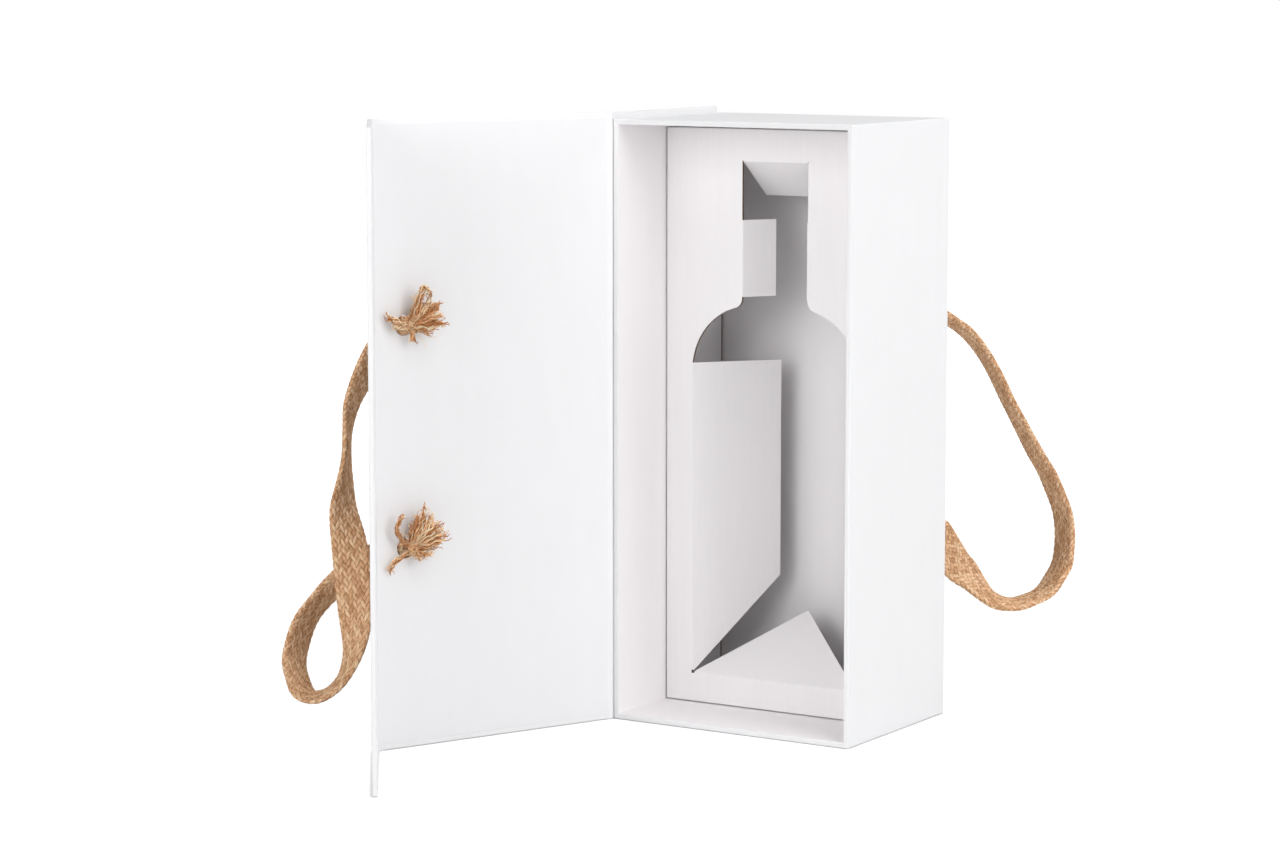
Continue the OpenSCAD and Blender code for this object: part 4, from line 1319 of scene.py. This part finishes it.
def make_tuft(level, yarns, height, seed):
    """A knotted and frayed end on the inner side of the door."""
    strands = Strands(seed)
    rng = strands.rng
    rim = -(PANEL_OUT + PAPER_T)

    def at(guide):
        return [(rim - n, -h, u) for h, u, n in guide]
    # The gathered tape comes through the hole, with painted shade that is deepest inside it
    plug = np.array([(-1.2, 0, 0), (rim / 2, 0, 0), (rim, -0.4, 0), (rim - 1.6, -2.8, 0.4)], float)
    narrowing = np.array([1, 1, 0.9, 0.6])[:, None]
    for k in range(PLUG_RODS):
        angle = 2 * math.pi * k / OUTER_RODS
        ring_r = OUTER_RING_R if k < OUTER_RODS else INNER_RING_R
        offset = np.array([0, math.cos(angle), math.sin(angle)]) * ring_r
        line = smooth_line(plug + offset * narrowing, 3)
        strands.add(line, np.full(10, ROD_R), 6, rng.uniform(0.3, 1), np.linspace(0.5, 1, 10))
    for _ in range(PLUG_CURLS):
        strands.curl(np.array([rim + 0.6, 0, 0]), rng.uniform(*PLUG_CURL_R), rng.uniform(0.2, 1))
    centre = np.array([rim, 0, 0]) + KNOT_AT
    add_knot(strands, centre, KNOT_SIZE, KNOT_TUBE_R)
    for _ in range(KNOT_CURLS):
        strands.curl(centre, rng.uniform(*KNOT_CURL_R), rng.uniform(0.2, 0.9))
    for guide in yarns:
        strands.yarn(at(guide), YARN_R, FIBRES_PER_YARN, 0.85, rng.uniform(0.25, 0.75))
    # Shorter ends fill the middle of the tuft
    tips = [g[-1] for g in yarns[:FAN_YARNS]]
    for _ in range(CORE_YARNS):
        a, b = rng.choice(len(tips), 2)
        mix = rng.random()
        tip = np.array(tips[a]) * mix + np.array(tips[b]) * (1 - mix)
        tip = tip * rng.uniform(0.38, 0.9) + rng.normal(0, 1.0, 3)
        start = rng.normal(0, 1.2, 3) + CORE_START
        bend = (start + tip) / 2 + rng.normal(0, 1.1, 3)
        strands.yarn(at([start, bend, tip]), CORE_YARN_R, CORE_FIBRES, 1.0, rng.uniform(0.1, 0.8), -0.2)
    for _ in range(LOOSE_CURLS):
        tip = np.array(tips[rng.choice(len(tips))]) * rng.uniform(0.3, 0.85) + rng.normal(0, 0.8, 3)
        strands.curl(np.array(at([tip])[0]), rng.uniform(*LOOSE_CURL_R), rng.uniform(0.1, 1))
    for _ in range(HAIRS):
        start = np.array([rng.normal(1, 2.5), rng.normal(1, 2.5), rng.uniform(4, 8)])
        way = np.array([rng.normal(3, 5), rng.normal(3, 6), rng.uniform(-1, 5)])
        bend = start + way * 0.5 + rng.normal(0, 1.6, 3)
        tip = start + way
        tip[0] = max(tip[0], HAIR_EDGE)
        tip[2] = max(tip[2], HAIR_FLOOR)
        bend[2] = max(bend[2], HAIR_FLOOR)
        line = smooth_line(at([start, bend, tip]), 5)
        strands.add(line, np.linspace(*HAIR_R, len(line)), 4, rng.uniform(0.4, 1))
    piece = strands.piece(f"door_{level}_tuft", FRAYED, DOOR_HANDLE @ moved(0, 0, height))
    return dressed(piece, "door", "frayed_jute", f"door_{level}_knot")


# The back handle's knots. Sideways they keep clear of the tray's wall and of the folded insert flap
BACK_RODS = 9
BACK_RING_R = 2.6
BACK_ROD_R = 1.25
BACK_KNOT_OUT = 4.4
BACK_KNOT_SIZE = 2.7
BACK_TUBE_R = 1.8
BACK_YARNS = 16
BACK_YARN_R = 0.6
BACK_FIBRES = 5
BACK_REACH = (-7.6, 4.0)


def make_back_knot(level, height, seed):
    """A knot inside the tray, flat against the back behind the insert."""
    strands = Strands(seed)
    rng = strands.rng
    # The gathered tape in the hole, evenly darkened by painted shade
    plug = np.array([(-0.4, 0, 0), (-WALL_T / 2, 0, 0), (-WALL_T, 0, 0), (-WALL_T - 2, 0, 0)], float)
    for k in range(BACK_RODS):
        angle = 2 * math.pi * k / BACK_RODS
        offset = np.array([0, math.cos(angle), math.sin(angle)]) * BACK_RING_R
        line = smooth_line(plug + offset, 3)
        strands.add(line, np.full(10, BACK_ROD_R), 8, rng.uniform(0.2, 0.6), np.full(10, 0.6))
    add_knot(strands, np.array([-WALL_T - BACK_KNOT_OUT, 0, 0]), BACK_KNOT_SIZE, BACK_TUBE_R)
    for _ in range(BACK_YARNS):
        way = rng.normal(0, 1, 3)
        way[0] = -abs(way[0]) * 0.5
        way = unit(way)
        start = np.array([-WALL_T - 5.0, 0, 0]) + way * 2
        guide = [start, start + way * 1.6, start + way * 3 + rng.normal(0, 0.5, 3)]
        out = -WALL_T - BACK_YARN_R
        guide = [np.array([min(g[0], out), np.clip(g[1], *BACK_REACH), g[2]]) for g in guide]
        strands.yarn(guide, BACK_YARN_R, BACK_FIBRES, 0.6, rng.uniform(0.2, 0.7))
    piece = strands.piece(f"back_{level}_tuft", FRAYED, BACK_HANDLE @ moved(0, 0, height))
    return dressed(piece, "tray", "frayed_jute", f"back_{level}_knot")


def make_handles():
    upper, lower = STRAP_HEIGHTS
    knots = [make_tuft("upper", UPPER_YARNS, upper, 11), make_tuft("lower", LOWER_YARNS, lower, 12)]
    make_strap("door_strap_tape", "door_strap", "door", DOOR_ROUTE, DOOR_HANDLE, 21)
    knots = [make_back_knot("upper", upper, 13), make_back_knot("lower", lower, 14)]
    make_strap("back_strap_tape", "back_strap", "tray", BACK_ROUTE, BACK_HANDLE, 22)


make_handles()
make_tray()
make_case()
make_folds()
make_insert_face()
make_insert_walls()
make_insert_flaps()


# The magnets stay as the CAD has them
for node in ("wall_magnets", "flap_magnets"):
    magnets = frame["nodes"][node].data
    magnets.materials.clear()
    magnets.materials.append(MAGNET)


# Floor, backdrop and light
FLOOR_HALF = 6000
FLOOR_DROP = 0.15
# The floor's own light as the camera sees it: its strength, and its share near the box and away from it
FLOOR_STRENGTH = 1.3
FLOOR_GLOW = 0.72
FLOOR_NEAR = 350
FLOOR_FAR = 1100
# Where the box stands on the floor, the glow fades within this distance, by this power of the open sky
CONTACT_REACH = 2
CONTACT_POWER = 1.6


def make_floor():
    """A pale floor. To the camera it is white where nothing shades it, and it keeps the soft shadow."""
    corners = [(-1, -1), (1, -1), (1, 1), (-1, 1)]
    points = [(x * FLOOR_HALF, y * FLOOR_HALF, -FLOOR_DROP) for x, y in corners]
    look = new_look("floor")
    grain = look.noise(look.coordinates, 8, 3)
    colour = look.ramp(grain, [(0.3, (0.76, 0.76, 0.76)), (0.7, (0.80, 0.80, 0.80))])
    look.finish(colour, look.ranged(grain, 0.7, 0.8), look.bumped(grain, 0.02, 0.001), 0.1)
    output = look.tree.nodes["Material Output"]
    glow = look.add("ShaderNodeEmission", {"Color": (1, 1, 1, 1), "Strength": FLOOR_STRENGTH})
    seen = look.add("ShaderNodeLightPath")
    away = look.add("ShaderNodeVectorMath", {0: look.coordinates}, operation="LENGTH").outputs["Value"]
    inputs = {"Value": away, "From Min": FLOOR_NEAR * MM, "From Max": FLOOR_FAR * MM, "To Min": FLOOR_GLOW}
    share = look.add("ShaderNodeMapRange", inputs, interpolation_type="SMOOTHSTEP")
    open_sky = look.add("ShaderNodeAmbientOcclusion", {"Distance": CONTACT_REACH * MM}).outputs["AO"]
    share = look.maths("MULTIPLY", share.outputs["Result"], look.maths("POWER", open_sky, CONTACT_POWER))
    lit = look.add("ShaderNodeMixShader", {0: share, 1: look.shader.outputs[0], 2: glow.outputs[0]})
    shown = look.maths("MAXIMUM", seen.outputs["Is Camera Ray"], seen.outputs["Is Glossy Ray"])
    mix = look.add("ShaderNodeMixShader", {0: shown, 1: look.shader.outputs[0], 2: lit.outputs[0]})
    look.tree.links.new(mix.outputs[0], output.inputs["Surface"])
    floor = new_piece("floor", points, [(0, 1, 2, 3)], [look.owner])


def make_world():
    """An even light of AMBIENT. A camera that looks past the floor sees plain white."""
    SCENE.world = bpy.data.worlds.new("studio")
    sky = Nodes(SCENE.world)
    light = sky.tree.nodes["Background"]
    light.inputs["Color"].default_value = (1, 1, 1, 1)
    light.inputs["Strength"].default_value = AMBIENT
    white = sky.add("ShaderNodeBackground", {"Color": (1, 1, 1, 1), "Strength": 1})
    ray = sky.add("ShaderNodeLightPath").outputs
    shown = sky.maths("MAXIMUM", ray["Is Camera Ray"], ray["Is Transmission Ray"])
    mix = sky.add("ShaderNodeMixShader", {0: shown, 1: light.outputs[0], 2: white.outputs[0]})
    sky.tree.links.new(mix.outputs[0], sky.tree.nodes["World Output"].inputs["Surface"])


AMBIENT = 0.052
# Soft boxes: azimuth and elevation as for the camera, width, height and power in watts
LIGHTS = {
    "key_softbox": (-12, 20, 900, 1000, 8.3),
    "front_softbox": (8, 22, 900, 1000, 3.8),
    "middle_softbox": (55, 20, 900, 1000, 3.9),
    "right_softbox": (75, 20, 1000, 1200, 11.7),
    "far_right_softbox": (125, 15, 900, 1000, 3.6),
    "high_softbox": (60, 50, 900, 1000, 6.7),
    "low_softbox": (0, 4, 900, 1000, 7.0),
    "top_softbox": (180, 81, 1000, 1000, 18.5),
    "back_softbox": (170, 6, 900, 900, 8),
}
LIGHT_TARGET = Vector((0, 0, 130))
LIGHT_DISTANCE = 1900


def make_lights():
    for name, (azimuth, elevation, width, height, power) in LIGHTS.items():
        data = bpy.data.lights.new(name, "AREA")
        data.shape = "RECTANGLE"
        data.size = width * MM
        data.size_y = height * MM
        data.energy = power
        lamp = bpy.data.objects.new(name, data)
        back = looking_back(azimuth, elevation)
        stand(lamp, LIGHT_TARGET + back * LIGHT_DISTANCE, back)
        lamp.visible_camera = False


make_floor()
make_world()
make_lights()
SCENE.view_settings.view_transform = "Standard"
